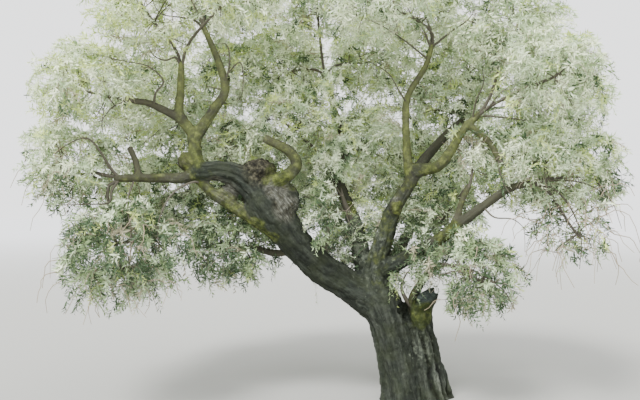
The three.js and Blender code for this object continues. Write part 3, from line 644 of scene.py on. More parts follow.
def bark_material():
    material = bpy.data.materials.new("living bark")
    material.use_nodes = True
    tree = material.node_tree
    shader = tree.nodes["Principled BSDF"]
    maths = partial(math_node, tree)
    place = add(tree, "ShaderNodeTexCoord").outputs["Object"]

    def attribute(name, output="Fac"):
        return add(tree, "ShaderNodeAttribute", attribute_name=name).outputs[output]

    def noise(vector, scale, detail, roughness=0.6):
        made = add(tree, "ShaderNodeTexNoise", [vector, None, scale, detail, roughness])
        return made.outputs["Fac"]

    def ramp(factor, *stops):
        made = add(tree, "ShaderNodeValToRGB", [factor])
        elements = made.color_ramp.elements
        while len(elements) < len(stops):
            elements.new(0.5)
        for element, (position, code) in zip(elements, stops):
            element.position = position
            element.color = colour(code)
        return made.outputs["Color"]

    def blend(factor, below, above):
        wires = {"Factor_Float": factor, "A_Color": below, "B_Color": above}
        return add(tree, "ShaderNodeMix", wires, data_type="RGBA").outputs["Result"]

    def between(value, low, high, least=0.0, most=1.0):
        made = add(tree, "ShaderNodeMapRange", [value, low, high, least, most])
        return made.outputs[0]

    def summed(a, b, share):
        return maths("ADD", a, maths("MULTIPLY", b, share))

    grain = attribute("grain", "Vector")
    along = scaled(tree, grain, 1, 1, GRAIN_STRETCH)
    fibre = scaled(tree, grain, 1, 1, 0.05)
    furrow, flute = attribute("furrow"), attribute("flute")
    moss, dead, sawn, rough_wood = (attribute(name) for name in ("moss", "dead", "sawn", "rough"))

    base = ramp(noise(along, 9, 5), (0.3, "171b15"), (0.5, "1e231c"), (0.7, "282e27"))
    crests = maths("MULTIPLY", between(flute, 0.05, 0.35, 1, 0), attribute("fluted"))
    crests = maths("MULTIPLY", crests, between(noise(along, 14, 4), 0.4, 0.62, 0, 0.7))
    crust_and_painted_light = summed(summed(noise(place, 19, 6, 0.7), moss, 0.12), attribute("lichen"), 0.16)
    for share, code in (
        (between(noise(along, 48, 5), 0.5, 0.75, 0, 0.45), "3d443b"),  # streaks along the grain
        (crests, "6b7064"),
        # Painted shade: the furrows and the bottoms of the flutes are darkened.
        (between(furrow, 0.4, 1, 0, 0.6), "12140e"),
        (between(flute, 0.3, 0.8, 0, 0.85), "0f100b"),
        # The lichen layer also holds a patch of painted light on the middle bough.
        (between(crust_and_painted_light, 0.62, 0.78, 0, 0.6), "737a69"),  # lichen
        (between(noise(place, 4.5, 4), 0.44, 0.66, 0, 0.5), "2c321e"),  # a green film
        (between(attribute("stout"), 0.2, 0.6, 0.5, 0), "65614f"),  # thin limbs are paler
    ):
        base = blend(share, base, colour(code))

    knots = ramp(noise(place, 24, 6, 0.7), (0.35, "12110c"), (0.5, "2c2a20"), (0.68, "605d4b"))
    base = blend(rough_wood, base, knots)
    bare_stops = (0.3, "22221d"), (0.44, "44443b"), (0.57, "65665c"), (0.76, "8e908a")
    bare_wood = ramp(noise(fibre, 60, 6), *bare_stops)
    bare_wood = blend(between(noise(place, 13, 6, 0.7), 0.45, 0.62, 0, 0.8), bare_wood, knots)
    base = blend(dead, base, bare_wood)
    base = blend(sawn, base, ramp(noise(place, 26, 5), (0.3, "3b4540"), (0.7, "6c7772")))

    # The moss mask also holds a patch of painted shade on the fork of the trunk.
    moss_and_shade_growth = between(summed(moss, noise(place, 8, 8, 0.68), 1.5), 1.25, 1.7)
    velvet = noise(place, 120, 4, 0.7)
    green = ramp(noise(place, 15, 6), (0.3, "22280f"), (0.5, "454e20"), (0.72, "8a934c"))
    up = add(tree, "ShaderNodeSeparateXYZ", [place]).outputs["Z"]
    # Painted shade and light on the moss: darker low down, where the crown shades the trunk, and paler
    # high in the crown.
    green = blend(between(up, 1.0, 2.3, 0.62, 0), green, colour("262e13"))
    green = blend(between(up, 2.6, 3.3, 0, 0.3), green, colour("949b66"))
    moss_and_shade_cover = maths("MULTIPLY", moss_and_shade_growth, between(velvet, 0.25, 0.65, 0.55, 1))
    tree.links.new(blend(moss_and_shade_cover, base, green), shader.inputs["Base Color"])

    rough = summed(between(noise(place, 40, 4), 0.3, 0.7, 0.78, 0.9), moss_and_shade_growth, 0.08)
    tree.links.new(rough, shader.inputs["Roughness"])
    height = summed(maths("MULTIPLY", noise(along, 90, 6), 0.6), velvet, 0.4)
    bump = add(tree, "ShaderNodeBump", {"Strength": 0.8, "Distance": 0.012, "Height": height})
    tree.links.new(bump.outputs[0], shader.inputs["Normal"])
    shader.inputs["Specular IOR Level"].default_value = 0.25
    return material


bark = bark_material()
GROUPS = {
    "trunk_wood": ("bark", ["main_stem", "right_stem"]),
    "left_wood": ("bark", ["left_limb", "upper_arm", "left_stub", "left_twist", "inner_shoot",
                           "under_shoot", "back_left_bough"]),
    "left_mossy_wood": ("mossy_bark", ["lower_arm", "hook", "left_arm", "left_fork", "left_leader"]),
    "right_wood": ("bark", ["middle_bough", "centre_leader", "right_bough", "right_droop", "back_arm",
                            "right_low", "right_low_shoot", "low_bough", "back_bough",
                            "back_right_bough"]),
    "right_mossy_wood": ("mossy_bark", ["right_leader", "right_arm"]),
}


def put_in_place(name, mesh, nodes):
    """A piece that stands where these nodes of the solids do."""
    piece = add_object(name, mesh)
    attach(piece, "root")
    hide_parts(*nodes)


for group, (slot, members) in GROUPS.items():
    chosen = faces[np.isin(owners[0, faces[:, 0]], [wood_names.index(member) for member in members])]
    used, places = np.unique(chosen, return_inverse=True)
    mesh = bpy.data.meshes.new(group)
    mesh.from_pydata(carved[used], [], places.reshape(-1, 4))
    mesh.shade_smooth()
    set_values(mesh, "grain", grains[0][used])
    for name, values in {**worn, **cover, "fluted": flutes, "stout": stout}.items():
        set_values(mesh, name, values[used])
    mesh.materials.append(bark)
    put_in_place(group, mesh, ["trunk"] if group == "trunk_wood" else members)

# Masses of foliage: their stems
# Each mass grows from the tip of a limb on a stem of its own. Stems that share a tip leave it
# side by side, each on the side of its own mass, as in the solids.
GAP = 0.3
CROWN_SQUASH = 0.86
TYPICAL_RADIUS = 650
STEM_RADIUS = 24
STEM_TIP_RADIUS = 14
STEM_JOINTS = [0.45, 0.7, 0.93]
STEM_PAST_MIDDLE = 0.25
STEM_STEP = 0.06
MASSES = {  # on each limb: the name, middle and radius
    "left_arm": [("left_outer", (-4000, -350, 2780), 720), ("left_low", (-3360, -660, 1740), 790)],
    "under_shoot": [("left_low_inner", (-2240, 260, 1790), 680)],
    "left_twist": [("left_high", (-3760, -430, 3600), 740)],
    "back_left_bough": [
        ("left_back_low", (-3280, 950, 2380), 820), ("left_back_high", (-3180, 850, 3560), 840),
        ("left_back_inner", (-2380, 620, 3000), 680), ("left_inner_high", (-2330, 700, 3940), 660),
        ("back_left", (-2250, 1850, 2800), 800),
    ],
    "left_fork": [
        ("upper_left", (-3060, -520, 4420), 730), ("front_left_high", (-2060, -1000, 4560), 620),
    ],
    "left_leader": [("top_left", (-2320, 250, 4860), 720)],
    "centre_leader": [
        ("top_middle", (-1200, 50, 4820), 680), ("upper_back", (-1650, 1300, 4150), 800),
        ("high_back", (-430, 1350, 4300), 800),
    ],
    "middle_bough": [
        ("middle_left", (-1560, 560, 3320), 680), ("middle_right", (-520, 960, 3060), 700),
    ],
    "right_leader": [("top_right", (60, 150, 4840), 760), ("front_high", (-520, -800, 4540), 660)],
    "right_arm": [("right_top", (1050, -250, 4380), 740), ("front_right", (1250, -1000, 3640), 660)],
    "right_droop": [("right_mid", (1250, -600, 2800), 600)],
    "back_arm": [
        ("right_back_top", (850, 1150, 4200), 760), ("right_inner", (440, 880, 3560), 660),
        ("right_high", (1740, 180, 3560), 720), ("right_back", (1620, 1080, 2820), 790),
    ],
    "right_low": [("right_outer", (2040, -60, 2660), 640), ("right_hang", (1660, -560, 2060), 580)],
    "right_low_shoot": [
        ("inner_right", (660, -60, 2920), 500), ("right_inner_low", (380, 300, 2140), 570),
    ],
    "low_bough": [("low_right", (560, -500, 1500), 640)],
    "inner_shoot": [("inner_left", (-1130, -40, 2250), 450)],
    "back_bough": [("back_middle", (-1060, 1900, 2700), 900)],
    "back_right_bough": [("back_right", (330, 1850, 2620), 900)],
}
USUAL_DROOP = 0.7
DROOPS = {
    "left_low": 1.5, "left_low_inner": 1.3, "left_back_low": 1.2, "right_mid": 1.1, "right_back": 1.1,
    "right_hang": 1.6, "low_right": 1.2,
}
masses = [SimpleNamespace(name=name, limb=limb, centre=np.array(middle) * MM, radius=radius * MM)
          for limb, hung in MASSES.items() for name, middle, radius in hung]


def curve_bent(a, b, c, d):
    """A Bezier curve of four points, from 0 to 1."""
    def place(t):
        t = np.asarray(t, float)[:, None]
        return a * (1 - t) ** 3 + 3 * b * t * (1 - t) ** 2 + 3 * c * t**2 * (1 - t) + d * t**3

    return place


for limb in LIMBS:
    sharing = [mass for mass in masses if mass.limb == limb["name"]]
    if not sharing:
        continue
    tip, way_on = point_at(wood[limb["name"]].line, 1)
    across = unit(np.cross([0, 0, 1], way_on))
    over = np.cross(way_on, across)
    for mass in sharing:
        mass.side = math.atan2((mass.centre - tip) @ over, (mass.centre - tip) @ across)
    sharing.sort(key=lambda mass: mass.side)
    half = math.sin(math.pi / len(sharing))
    room = limb_radius(limb, 1)
    alone = len(sharing) == 1
    radius = STEM_RADIUS * MM if alone else min(STEM_RADIUS * MM, room * half / (1 + half))
    spread = 0 if alone else room - radius
    for i, mass in enumerate(sharing):
        angle = sharing[0].side + i * 2 * math.pi / len(sharing)
        foot = tip + way_on * GAP * MM
        foot = foot + across * spread * math.cos(angle) + over * spread * math.sin(angle)
        way = mass.centre - foot
        length = np.linalg.norm(way)
        bends = [foot + way_on * 0.3 * length, foot + way * 0.65]
        top = mass.centre + way / length * mass.radius * STEM_PAST_MIDDLE
        mass.stem = line_along(curve_bent(foot, *bends, top), STEM_STEP)
        mass.foot_radius = radius

# Room for twigs and shoots
# A mass has the space of a squashed ball, cut off flat against its neighbours, and what grows
# in it keeps clear of the limbs and of the other masses' stems.
BALL_SPACING = 0.06
SPACE_MARGIN = 0.009
STEM_SHARE = 0.62  # of the girth of one of the trunk's stems, for its radius with the ribs
OPEN_UP_TO = {  # the share of a limb up to which no shoots hide it; the others are open all along
    "middle_bough": 0.6, "centre_leader": 0, "inner_shoot": 0, "under_shoot": 0, "back_arm": 0.5,
    "back_left_bough": 0, "back_bough": 0, "back_right_bough": 0,
}
centres = np.array([mass.centre for mass in masses])
reaches = np.array([mass.radius for mass in masses])


def even_shares(line):
    """Shares of a line's length, close enough for balls there to cover it."""
    return np.linspace(0, 1, math.ceil(line.length / BALL_SPACING) + 1)


rows = []
for name, piece in wood.items():
    for share in even_shares(piece.line):
        ribbed = STEM_SHARE * MM * max(piece.facts["girth"])
        radius = ribbed if name in ("main_stem", "right_stem") else piece.radius(share)
        rows.append((point_at(piece.line, share)[0], radius, -1, share <= OPEN_UP_TO.get(name, 1)))
    burls = piece.facts.get("burls", [])
    rows += [(np.array(middle) * MM, max(half) * MM, -1, True) for middle, half in burls]
for number, mass in enumerate(masses):
    rows += [(point_at(mass.stem, share)[0], mass.foot_radius, number, False)
             for share in even_shares(mass.stem)]
places, radii, keepers, shown = (np.array(column) for column in zip(*rows))
balls = SimpleNamespace(place=places, radius=radii, owner=keepers)
SQUASH = np.array([1, 1, 1 / CROWN_SQUASH])


def is_free(number, points, room, margin=SPACE_MARGIN, reach=1.0):
    """Which points are inside the space of a mass, and at least room away from other wood."""
    power = (((points[:, None] - centres) * SQUASH) ** 2).sum(axis=2) - reaches**2
    apart = np.sqrt((((centres - centres[number]) * SQUASH) ** 2).sum(axis=1))
    own = power[:, number]
    clear = power - own[:, None] > 2 * margin * apart
    clear[:, number] = own < (reach**2 - 1) * reaches[number] ** 2
    others = balls.owner != number
    away = np.linalg.norm(points[:, None] - balls.place[others], axis=2)
    return clear.all(axis=1) & (away > balls.radius[others] + room).all(axis=1)


# Twigs
# Twigs go out from the stem evenly on all sides, each from the nearest joint. The first ones
# are the solids' own, thinner ones fill in between them, and side twigs branch off them all.
TWIGS_PER_MASS = 4.9
FEWEST_TWIGS = 4
TWIG_REACH = 0.6
TWIG_RADIUS = 0.01
TWIG_SIZES = [0.45, 0.6, 0.8, 1]
GOLDEN_ANGLE = math.pi * (3 - math.sqrt(5))
THIN_TWIGS = 24  # for each cubic metre round a mass
SIDE_TWIGS = 130
SIDE_TWIG_LENGTH = 0.32  # of the radius of its mass
SIDE_TWIG_ROOM = 0.012
LINE_POINTS = 6
BENDS = {  # how far the lines of each kind arch up and wander aside, as shares of their length
    "first": (0.03, 0.03), "thin": (0.06, 0.05), "side": (0.1, 0.07), "whip": (0.3, 0.12),
    "shoot": (0.16, 0.1), "sprout": (0.15, 0.08),
}


def seeded(seed):
    """The small generator of the solids, so that the first twigs are where theirs are."""
    state = seed

    def draw():
        nonlocal state
        state = (state + 0x6D2B79F5) & 0xFFFFFFFF
        t = (state ^ state >> 15) * (state | 1) & 0xFFFFFFFF
        t = (t + ((t ^ t >> 7) * (t | 61) & 0xFFFFFFFF) & 0xFFFFFFFF) ^ t
        return (t ^ t >> 14) / 2**32

    return draw


def directions(count, start):
    """Directions spread evenly all round, turned by an angle."""
    steps = np.arange(count)
    rise = 1 - (2 * steps + 1) / count
    ring = np.sqrt(1 - rise**2)
    turn = start + steps * GOLDEN_ANGLE
    return np.stack([ring * np.cos(turn), ring * np.sin(turn), rise * CROWN_SQUASH], axis=1)


def first_twigs(number, mass, joints):
    """The twigs that the solids have: where each starts and where it ends."""
    draw = seeded(number + 1)
    usual = TWIGS_PER_MASS * (mass.radius / MM / TYPICAL_RADIUS) ** 1.3
    count = max(math.floor(usual + 0.5), FEWEST_TWIGS)
    starts, ends = [], []
    for away in directions(count, draw() * 2 * math.pi):
        reach = mass.radius * (TWIG_REACH + 0.14 * (draw() - 0.5))
        draw(), draw(), draw()  # these bend the solids' twigs
        end = mass.centre + away * reach
        joint = joints[np.argmin(np.linalg.norm(joints - end, axis=1))]
        way = end - joint
        fits = [size for size in TWIG_SIZES
                if is_free(number, joint + np.outer([0.5, 0.8, 1], way) * size, TWIG_RADIUS).all()]
        if fits:
            starts.append(joint)
            ends.append(joint + way * max(fits))
            draw(), draw()
    return np.array(starts).reshape(-1, 3), np.array(ends).reshape(-1, 3)


def bent_lines(rng, starts, ends, arch, wander, points):
    """Lines from starts to ends that arch up and down again, and wander a little aside."""
    t = np.linspace(0, 1, points)[:, None]
    ways = ends - starts
    lengths = np.linalg.norm(ways, axis=1)[:, None]
    aside = rng.normal(size=ways.shape) * wander + [0, 0, arch]
    bulge = 4 * t * (1 - t) * (1 + 0.6 * (t - 0.5))
    return starts[:, None] + t * ways[:, None] + bulge * (aside * lengths)[:, None]


def ends_within(rng, mass, per_cubic_metre, low, high):
    """Ends spread evenly in a mass, between two shares of its radius."""
    volume = 4 / 3 * math.pi * mass.radius**3 * CROWN_SQUASH
    count = round(per_cubic_metre * volume * (high**3 - low**3))
    shares = rng.uniform(low**3, high**3, (count, 1)) ** (1 / 3)
    return mass.centre + directions(count, rng.uniform(0, 6)) * mass.radius * shares


def rooted(ends, roots, length, below):
    """For each end the root that is about a length away from it and not much below it."""
    away = np.linalg.norm(ends[:, None] - roots, axis=2)
    rise = ends[:, None, 2] - roots[:, 2]
    return roots[np.argmin(np.abs(away - length) + below * np.maximum(rise, 0), axis=1)]


def with_room(number, lines, room, margin, reach=1.0):
    """The lines whose middles and ends have room."""
    spots = lines[:, [lines.shape[1] // 2, -1]].reshape(-1, 3)
    return lines[is_free(number, spots, room, margin, reach).reshape(-1, 2).all(axis=1)]


def within_ragged_edge(mass, ends):
    """Which ends lie inside a mass's uneven edge, which stands out in some places and in
    others falls back, so that no mass is a plain ball."""
    x, y, z = ends.T
    waves = np.sin(8 * x + 3 * z) * np.sin(7 * y - 6 * z + 1) + 0.5 * np.sin(15 * x - 11 * y + 13 * z)
    away = np.linalg.norm((ends - mass.centre) * SQUASH, axis=1) / mass.radius
    return away < SHOOT_EDGE + RAGGED * waves


def spots_on(lines, shares):
    """Places at shares of the length of each line."""
    spots = np.array(shares) * (lines.shape[1] - 1)
    i = np.minimum(spots.astype(int), lines.shape[1] - 2)
    return (lines[:, i] + (lines[:, i + 1] - lines[:, i]) * (spots - i)[:, None]).reshape(-1, 3)


# Arches
# Past the ends of the limbs thin branches arch out and hang, nearly bare over most of their
# length. Each starts on a limb, at a share of its length, with a girth, and has its own route.
ARCH_POINTS = 16
ARCHES = {
    "left_leader": [
        (0.97, 30, [(-2640, -150, 4500), (-2770, -250, 4500), (-2980, -400, 4510),
         (-3060, -450, 4650)]),
        (0.99, 36, [(-2600, -80, 4590), (-2680, -120, 4760), (-2720, -150, 4900)]),
        (0.45, 24, [(-2480, -260, 3700)]),
        (0.5, 26, [(-2200, -250, 4000), (-2240, -270, 4180), (-2330, -290, 4190)]),
        (0.55, 20, [(-2070, -330, 3960), (-2040, -380, 3620), (-2090, -400, 3500)]),
    ],
    "left_fork": [
        (0.98, 34, [(-2790, -460, 3990), (-2890, -500, 3950), (-3010, -560, 3990),
         (-3060, -600, 4090)]),
    ],
    "left_twist": [
        (0.6, 30, [(-3000, -520, 3580), (-2900, -560, 3700), (-3060, -620, 3860), (-3290, -680, 3900),
         (-3650, -740, 3980)]),
        (0.97, 30, [(-3350, -520, 3480), (-3470, -600, 3400), (-3560, -680, 3240)]),
    ],
    "left_arm": [
        (0.98, 44, [(-3510, -520, 2740), (-3580, -560, 2870), (-3720, -640, 3060),
         (-3880, -700, 3010), (-4060, -720, 2880)]),
        (0.97, 36, [(-3480, -560, 2480), (-3480, -660, 2350), (-3720, -740, 2330),
         (-4100, -820, 2320)]),
        (0.8, 26, [(-3300, -600, 2350), (-3200, -800, 2050), (-3190, -900, 1700), (-3260, -980, 1420)]),
    ],
    "lower_arm": [
        (0.98, 34, [(-2600, -420, 2580), (-2800, -560, 2450), (-2920, -700, 2150),
         (-2900, -800, 1800)]),
    ],
    "right_leader": [
        (0.98, 30, [(60, -60, 4440), (-80, -100, 4590), (-160, -140, 4760)]),
        (0.99, 30, [(410, -80, 4380), (610, -120, 4520), (700, -160, 4690)]),
        (0.9, 24, [(-160, -200, 4240), (-420, -300, 4380), (-600, -380, 4440)]),
        (0.55, 24, [(-230, -260, 3640), (-370, -360, 3830), (-640, -460, 3970)]),
    ],
    "right_arm": [
        (0.98, 34, [(800, -300, 3450), (910, -400, 3600), (1060, -480, 3700)]),
        (0.99, 30, [(880, -360, 3330), (1120, -440, 3290), (1330, -500, 3240)]),
        (0.9, 24, [(640, -360, 3520), (700, -460, 3700), (660, -560, 3860)]),
    ],
    "right_droop": [(0.98, 28, [(900, -440, 2660), (960, -520, 2480), (1060, -600, 2380)])],
    "right_low": [
        (0.98, 34, [(1480, -500, 2500), (1640, -600, 2280), (1720, -680, 1980), (1690, -720, 1620)]),
        (0.99, 26, [(1560, -420, 2600), (1830, -520, 2560), (2060, -640, 2380), (2160, -700, 2060)]),
        (0.7, 26, [(820, -480, 2180), (1000, -600, 2160), (1140, -700, 2020)]),
    ],
    "low_bough": [
        (0.98, 34, [(380, -440, 1640), (620, -600, 1560), (860, -740, 1380), (960, -800, 1180)]),
        (0.12, 64, [(-150, -110, 1230), (-190, -130, 1350), (-150, -150, 1480), (-60, -170, 1600)]),
    ],
    "middle_bough": [
        (0.5, 96, [(-850, 180, 2330), (-880, 150, 2440), (-890, 130, 2520)]),
        (0.52, 34, [(-880, 170, 2400), (-950, 130, 2520), (-1060, 90, 2620)]),
    ],
}
arches = []
for limb, growing in ARCHES.items():
    for at, girth, route in growing:
        foot, _ = point_at(wood[limb].line, at)
        bend = curve_through([foot, *np.array(route) * MM])
        line = bend(np.linspace(0, 1, ARCH_POINTS))
        arches.append(SimpleNamespace(line=line, radius=girth * MM / 2))

# Leafy shoots
# Long thin shoots fill each mass up to its edge. They arch and hang with the weight of their
# leaves, which stand in pairs, each pair turned a quarter from the last. The crown is kept open
# in front, so few shoots stand before a limb there, and tufts of sprouts grow on the limbs.
SHOOTS = 380
SHOOT_POINTS = 4
SHOOT_LENGTH = 0.27
SHOOT_ROOM = 0.02
SHOOT_OVERLAP = 0.03  # how far shoots reach in among those of the next mass
SHOOT_REACH, SHOOT_EDGE, RAGGED = 1.12, 0.97, 0.13  # of the radius of a mass
STEM_POINTS, WHIP_POINTS = 10, 8
TWIG_FORKS = [0.35, 0.5, 0.65, 0.8, 0.97]  # where side twigs leave a twig, as shares of it
SHOOT_FORKS = [0.3, 0.5, 0.75, 0.98]
TINTS = {"pale": "f0fad6", "silver": "d8e8c4", "grey_green": "b2c69c", "olive": "8a9f70",
         "yellow_green": "cfdf8c", "deep_green": "4a5f42", "dry": "aea88c"}
USUAL_MIX = np.array([0.3, 0.26, 0.2, 0.07, 0.08, 0.06, 0.03])
# The sunny, inner and shady mixes paint light and shade into the tints: painted sunlight high on the left,
# painted light in the middle and back of the crown, painted shade low down.
SUNNY_MIX = np.array([0.46, 0.16, 0.06, 0.02, 0.27, 0.01, 0.02])
INNER_MIX = np.array([0.4, 0.2, 0.09, 0.07, 0.14, 0.08, 0.02])
SHADY_MIX = np.array([0.01, 0.05, 0.15, 0.27, 0.02, 0.46, 0.04])
VIEWER = np.array([-1.152, -8.232, 2.376])
CLEARANCE = 0.045  # round a limb, within which a shoot would hide it
KEPT_BEFORE_WOOD = 0.14
SPROUTS = [  # on each limb: the share of its length, the way they grow, how many and how long
    ("left_limb", [
        (0.3, (0.3, 0.3, 1), 14, 0.4), (0.42, (0.4, 0.4, 1), 14, 0.42), (0.52, (0.4, 0.2, 1), 12, 0.4),
        (0.62, (0.7, -0.6, 0.4), 12, 0.3), (0.72, (0.8, -0.3, 0.6), 9, 0.3),
        (0.55, (0.9, 0.2, 0.5), 16, 0.4), (0.82, (1, 0.2, 0.2), 14, 0.34),
    ]),
    ("upper_arm", [(0.5, (0.1, 0.3, 1), 8, 0.3)]),
    ("middle_bough", [
        (0.3, (-1, 0.6, 0.4), 12, 0.4), (0.6, (-1, 0.3, 0.2), 12, 0.4), (0.4, (1, 0.8, 0.3), 12, 0.36),
        (0.7, (1, 0.5, 0), 14, 0.42),
    ]),
    ("right_bough", [
        (0.38, (-1, 1.2, 0.1), 14, 0.36), (0.62, (-1, 0.7, 0.2), 14, 0.4),
        (0.35, (1, 0.3, 0.2), 12, 0.36), (0.6, (1, 0.2, 0), 12, 0.36), (0.05, (1, -0.3, 0.1), 8, 0.26),
    ]),
    ("right_low", [(0.5, (0.1, -1, -0.6), 10, 0.34), (0.3, (0.1, -0.6, -1), 12, 0.34)]),
    ("low_bough", [
        (0.6, (0.4, -1, 0.2), 9, 0.3), (0.8, (-0.4, -0.8, 0.5), 8, 0.3),
        (0.9, (-0.5, -0.3, 1), 14, 0.36),
    ]),
    ("middle_bough", [(0.45, (1, 0.9, 0.2), 18, 0.44)]),
    ("right_bough", [(0.5, (-0.8, 1, 0.1), 18, 0.46)]),
    ("right_low", [
        (0.1, (0.3, -0.3, -1), 12, 0.3), (0.22, (0.2, -1, -0.4), 12, 0.34),
        (0.4, (0, 0.6, -0.8), 16, 0.4),
    ]),
    ("middle_bough", [
        (0.2, (1, 0.9, 0.4), 18, 0.44), (0.2, (-1, 0.7, 0.1), 16, 0.4), (0.9, (0.3, -1, 0.2), 16, 0.38),
        (1, (-0.2, -1, 0.1), 18, 0.36),
    ]),
    ("centre_leader", [
        (0.12, (0.2, -1, 0), 16, 0.34), (0.3, (-0.4, -1, 0.2), 18, 0.4),
        (0.45, (0.4, -1, 0.1), 18, 0.4), (0.6, (-0.3, -1, 0), 18, 0.4), (0.75, (0.2, -1, 0.1), 18, 0.4),
        (0.9, (-0.1, -1, 0.1), 18, 0.4), (0.5, (1, 0.3, 0.1), 20, 0.5),
    ]),
    ("right_leader", [(0.35, (-1, 0.9, 0.1), 22, 0.5), (0.5, (-1, 0.6, -0.1), 20, 0.5)]),
    ("right_arm", [(0.95, (0.8, 0.5, -0.1), 18, 0.42)]),
    ("back_arm", [(0.95, (0.4, -0.7, 0.2), 18, 0.42)]),
    ("right_bough", [(0.2, (1, 0.9, 0.3), 14, 0.4)]),
    ("back_bough", [(0.4, (-0.2, -0.4, -0.6), 18, 0.46), (0.65, (-0.6, -0.3, -0.8), 18, 0.46)]),
    ("back_right_bough", [(0.45, (0.2, -0.5, -0.6), 20, 0.48), (0.7, (0.6, -0.4, -0.7), 20, 0.48)]),
]
LEAFLESS = {"right_hang": 0.65, "left_low": 0.12, "left_outer": 0.1}  # the share of shoots left out
WHIPS = {  # bare dry twigs that hang out of a mass: how many and how long
    "right_hang": (60, 0.44), "right_outer": (16, 0.34), "left_low": (70, 0.36),
    "left_outer": (40, 0.36), "low_right": (14, 0.26),
}
WHIP_KINK = 0.012
SPROUT_SIZE = 0.75  # of the leaves on sprouts, against those on shoots
EDGE = 0.03  # shoots end this far inside the tree's box, and their leaves stand out past them
low_edge, high_edge = (np.array(corner) for corner in cad_box)
seen_wood = np.concatenate([balls.place[shown], *[arch.line for arch in arches]])
arch_radii = np.array([arch.radius for arch in arches])
seen_radii = np.concatenate([balls.radius[shown], np.repeat(arch_radii, ARCH_POINTS)])


def hides_wood(points):
    """Which points stand before a limb for someone in front of the tree."""
    away, wood_away = points - VIEWER, seen_wood - VIEWER
    flat, wood_flat = away[:, [0, 2]] / away[:, [1]], wood_away[:, [0, 2]] / wood_away[:, [1]]
    apart = np.linalg.norm(flat[:, None] - wood_flat, axis=2)
    close = apart < (seen_radii + CLEARANCE) / wood_away[:, 1]
    return (close & (away[:, [1]] < wood_away[:, 1])).any(axis=1)


def tints_at(rng, places):
    """A tint for each place, in painted light and shade: yellower as painted sunlight in the
    high left of the crown, palest as painted light in its middle and at the back, and darker
    low down as painted shade."""
    x, y, z = places.T
    sunny = np.clip((z - 2.7) / 1.2, 0, 1) * np.clip((-1.2 - x) / 1.2, 0, 1)
    inner = np.clip((y + 0.1) / 0.5, 0, 1)
    shady = np.clip((2.7 - z) / 0.8, 0, 1) * np.clip((0.9 - y) / 0.5, 0.3, 1)
    odds = mix(mix(USUAL_MIX, SUNNY_MIX, sunny[:, None]), INNER_MIX, inner[:, None])
    odds = mix(odds, SHADY_MIX, shady[:, None])
    return (rng.random((len(places), 1)) > np.cumsum(odds, axis=1)[:, :-1]).sum(axis=1)


def inside_box(points):
    return ((points > low_edge + EDGE) & (points < high_edge - EDGE)).all(axis=1)


stem_lines, first_lines, thin_lines, side_lines, whips, shoots = [], [], [], [], [], []
for number, mass in enumerate(masses):
    rng = np.random.default_rng(number + 1)
    joints = np.array([point_at(mass.stem, share)[0] for share in STEM_JOINTS])
    stem_lines.append([point_at(mass.stem, share)[0] for share in np.linspace(0, 1, STEM_POINTS)])
    first = bent_lines(rng, *first_twigs(number, mass, joints), *BENDS["first"], LINE_POINTS)
    ends = ends_within(rng, mass, THIN_TWIGS, 0.45, 0.8)
    thin = bent_lines(rng, rooted(ends, joints, 0, 0), ends, *BENDS["thin"], LINE_POINTS)
    thin = with_room(number, thin, TWIG_RADIUS, SPACE_MARGIN)
    first_lines.append(first)
    thin_lines.append(thin)

    ends = ends_within(rng, mass, SIDE_TWIGS, 0.3, 0.93)
    forks = spots_on(np.concatenate([first, thin]), TWIG_FORKS)
    roots = rooted(ends, forks, SIDE_TWIG_LENGTH * mass.radius, 0.5)
    sides = bent_lines(rng, roots, ends, *BENDS["side"], SHOOT_POINTS)
    sides = with_room(number, sides, SIDE_TWIG_ROOM, 0.0)
    sides = sides[inside_box(sides[:, -1])]
    side_lines.append(sides)

    many, length = WHIPS.get(mass.name, (0, 0))
    roots = rng.permutation(sides[:, -2])[:many]
    away = unit((roots - mass.centre) * [1, 1, 0.3]) * 0.5
    out = away + rng.normal(size=roots.shape) * 0.25 - [0, 0, 0.6]
    hanging = bent_lines(rng, roots, roots + out * length, *BENDS["whip"], WHIP_POINTS)
    hanging[:, 1:] += rng.normal(size=hanging[:, 1:].shape) * WHIP_KINK
    whips.append(hanging[inside_box(hanging[:, -1])])

    ends = ends_within(rng, mass, SHOOTS, 0.35, SHOOT_REACH)
    ends = ends[within_ragged_edge(mass, ends)]
    roots = rooted(ends, spots_on(sides, SHOOT_FORKS), SHOOT_LENGTH, 0.6)
    arch, wander = BENDS["shoot"]
    arch *= DROOPS.get(mass.name, USUAL_DROOP)
    leafy = bent_lines(rng, roots, ends, arch, wander, SHOOT_POINTS)
    leafy = with_room(number, leafy, SHOOT_ROOM, -SHOOT_OVERLAP, SHOOT_REACH)
    hiding = hides_wood(leafy[:, 1:].reshape(-1, 3)).reshape(len(leafy), -1).any(axis=1)
    kept = ~hiding | (rng.random(len(leafy)) < KEPT_BEFORE_WOOD)
    kept &= inside_box(leafy[:, -1]) & (rng.random(len(leafy)) > LEAFLESS.get(mass.name, 0))
    shoots.append((leafy[kept], tints_at(rng, leafy[kept, -1]), np.ones(kept.sum())))

# The tufts of sprouts go with the shoots of the mass that is nearest.
rng = np.random.default_rng(len(masses) + 1)
for limb, tufts in SPROUTS:
    for at, way, count, length in tufts:
        middle, _ = point_at(wood[limb].line, at)
        way = unit(np.array(way, float))
        root = middle + way * 0.7 * wood[limb].radius(at)
        spread = way + rng.normal(size=(count, 3)) * 0.4
        ends = root + spread * length * rng.uniform(0.6, 1.1, (count, 1))
        tuft = bent_lines(rng, np.tile(root, (count, 1)), ends, *BENDS["sprout"], SHOOT_POINTS)
        nearest = np.argmin(np.linalg.norm(centres - root, axis=1))
        more = tuft, tints_at(rng, ends), np.full(count, SPROUT_SIZE)
        shoots[nearest] = tuple(np.concatenate(both) for both in zip(shoots[nearest], more))

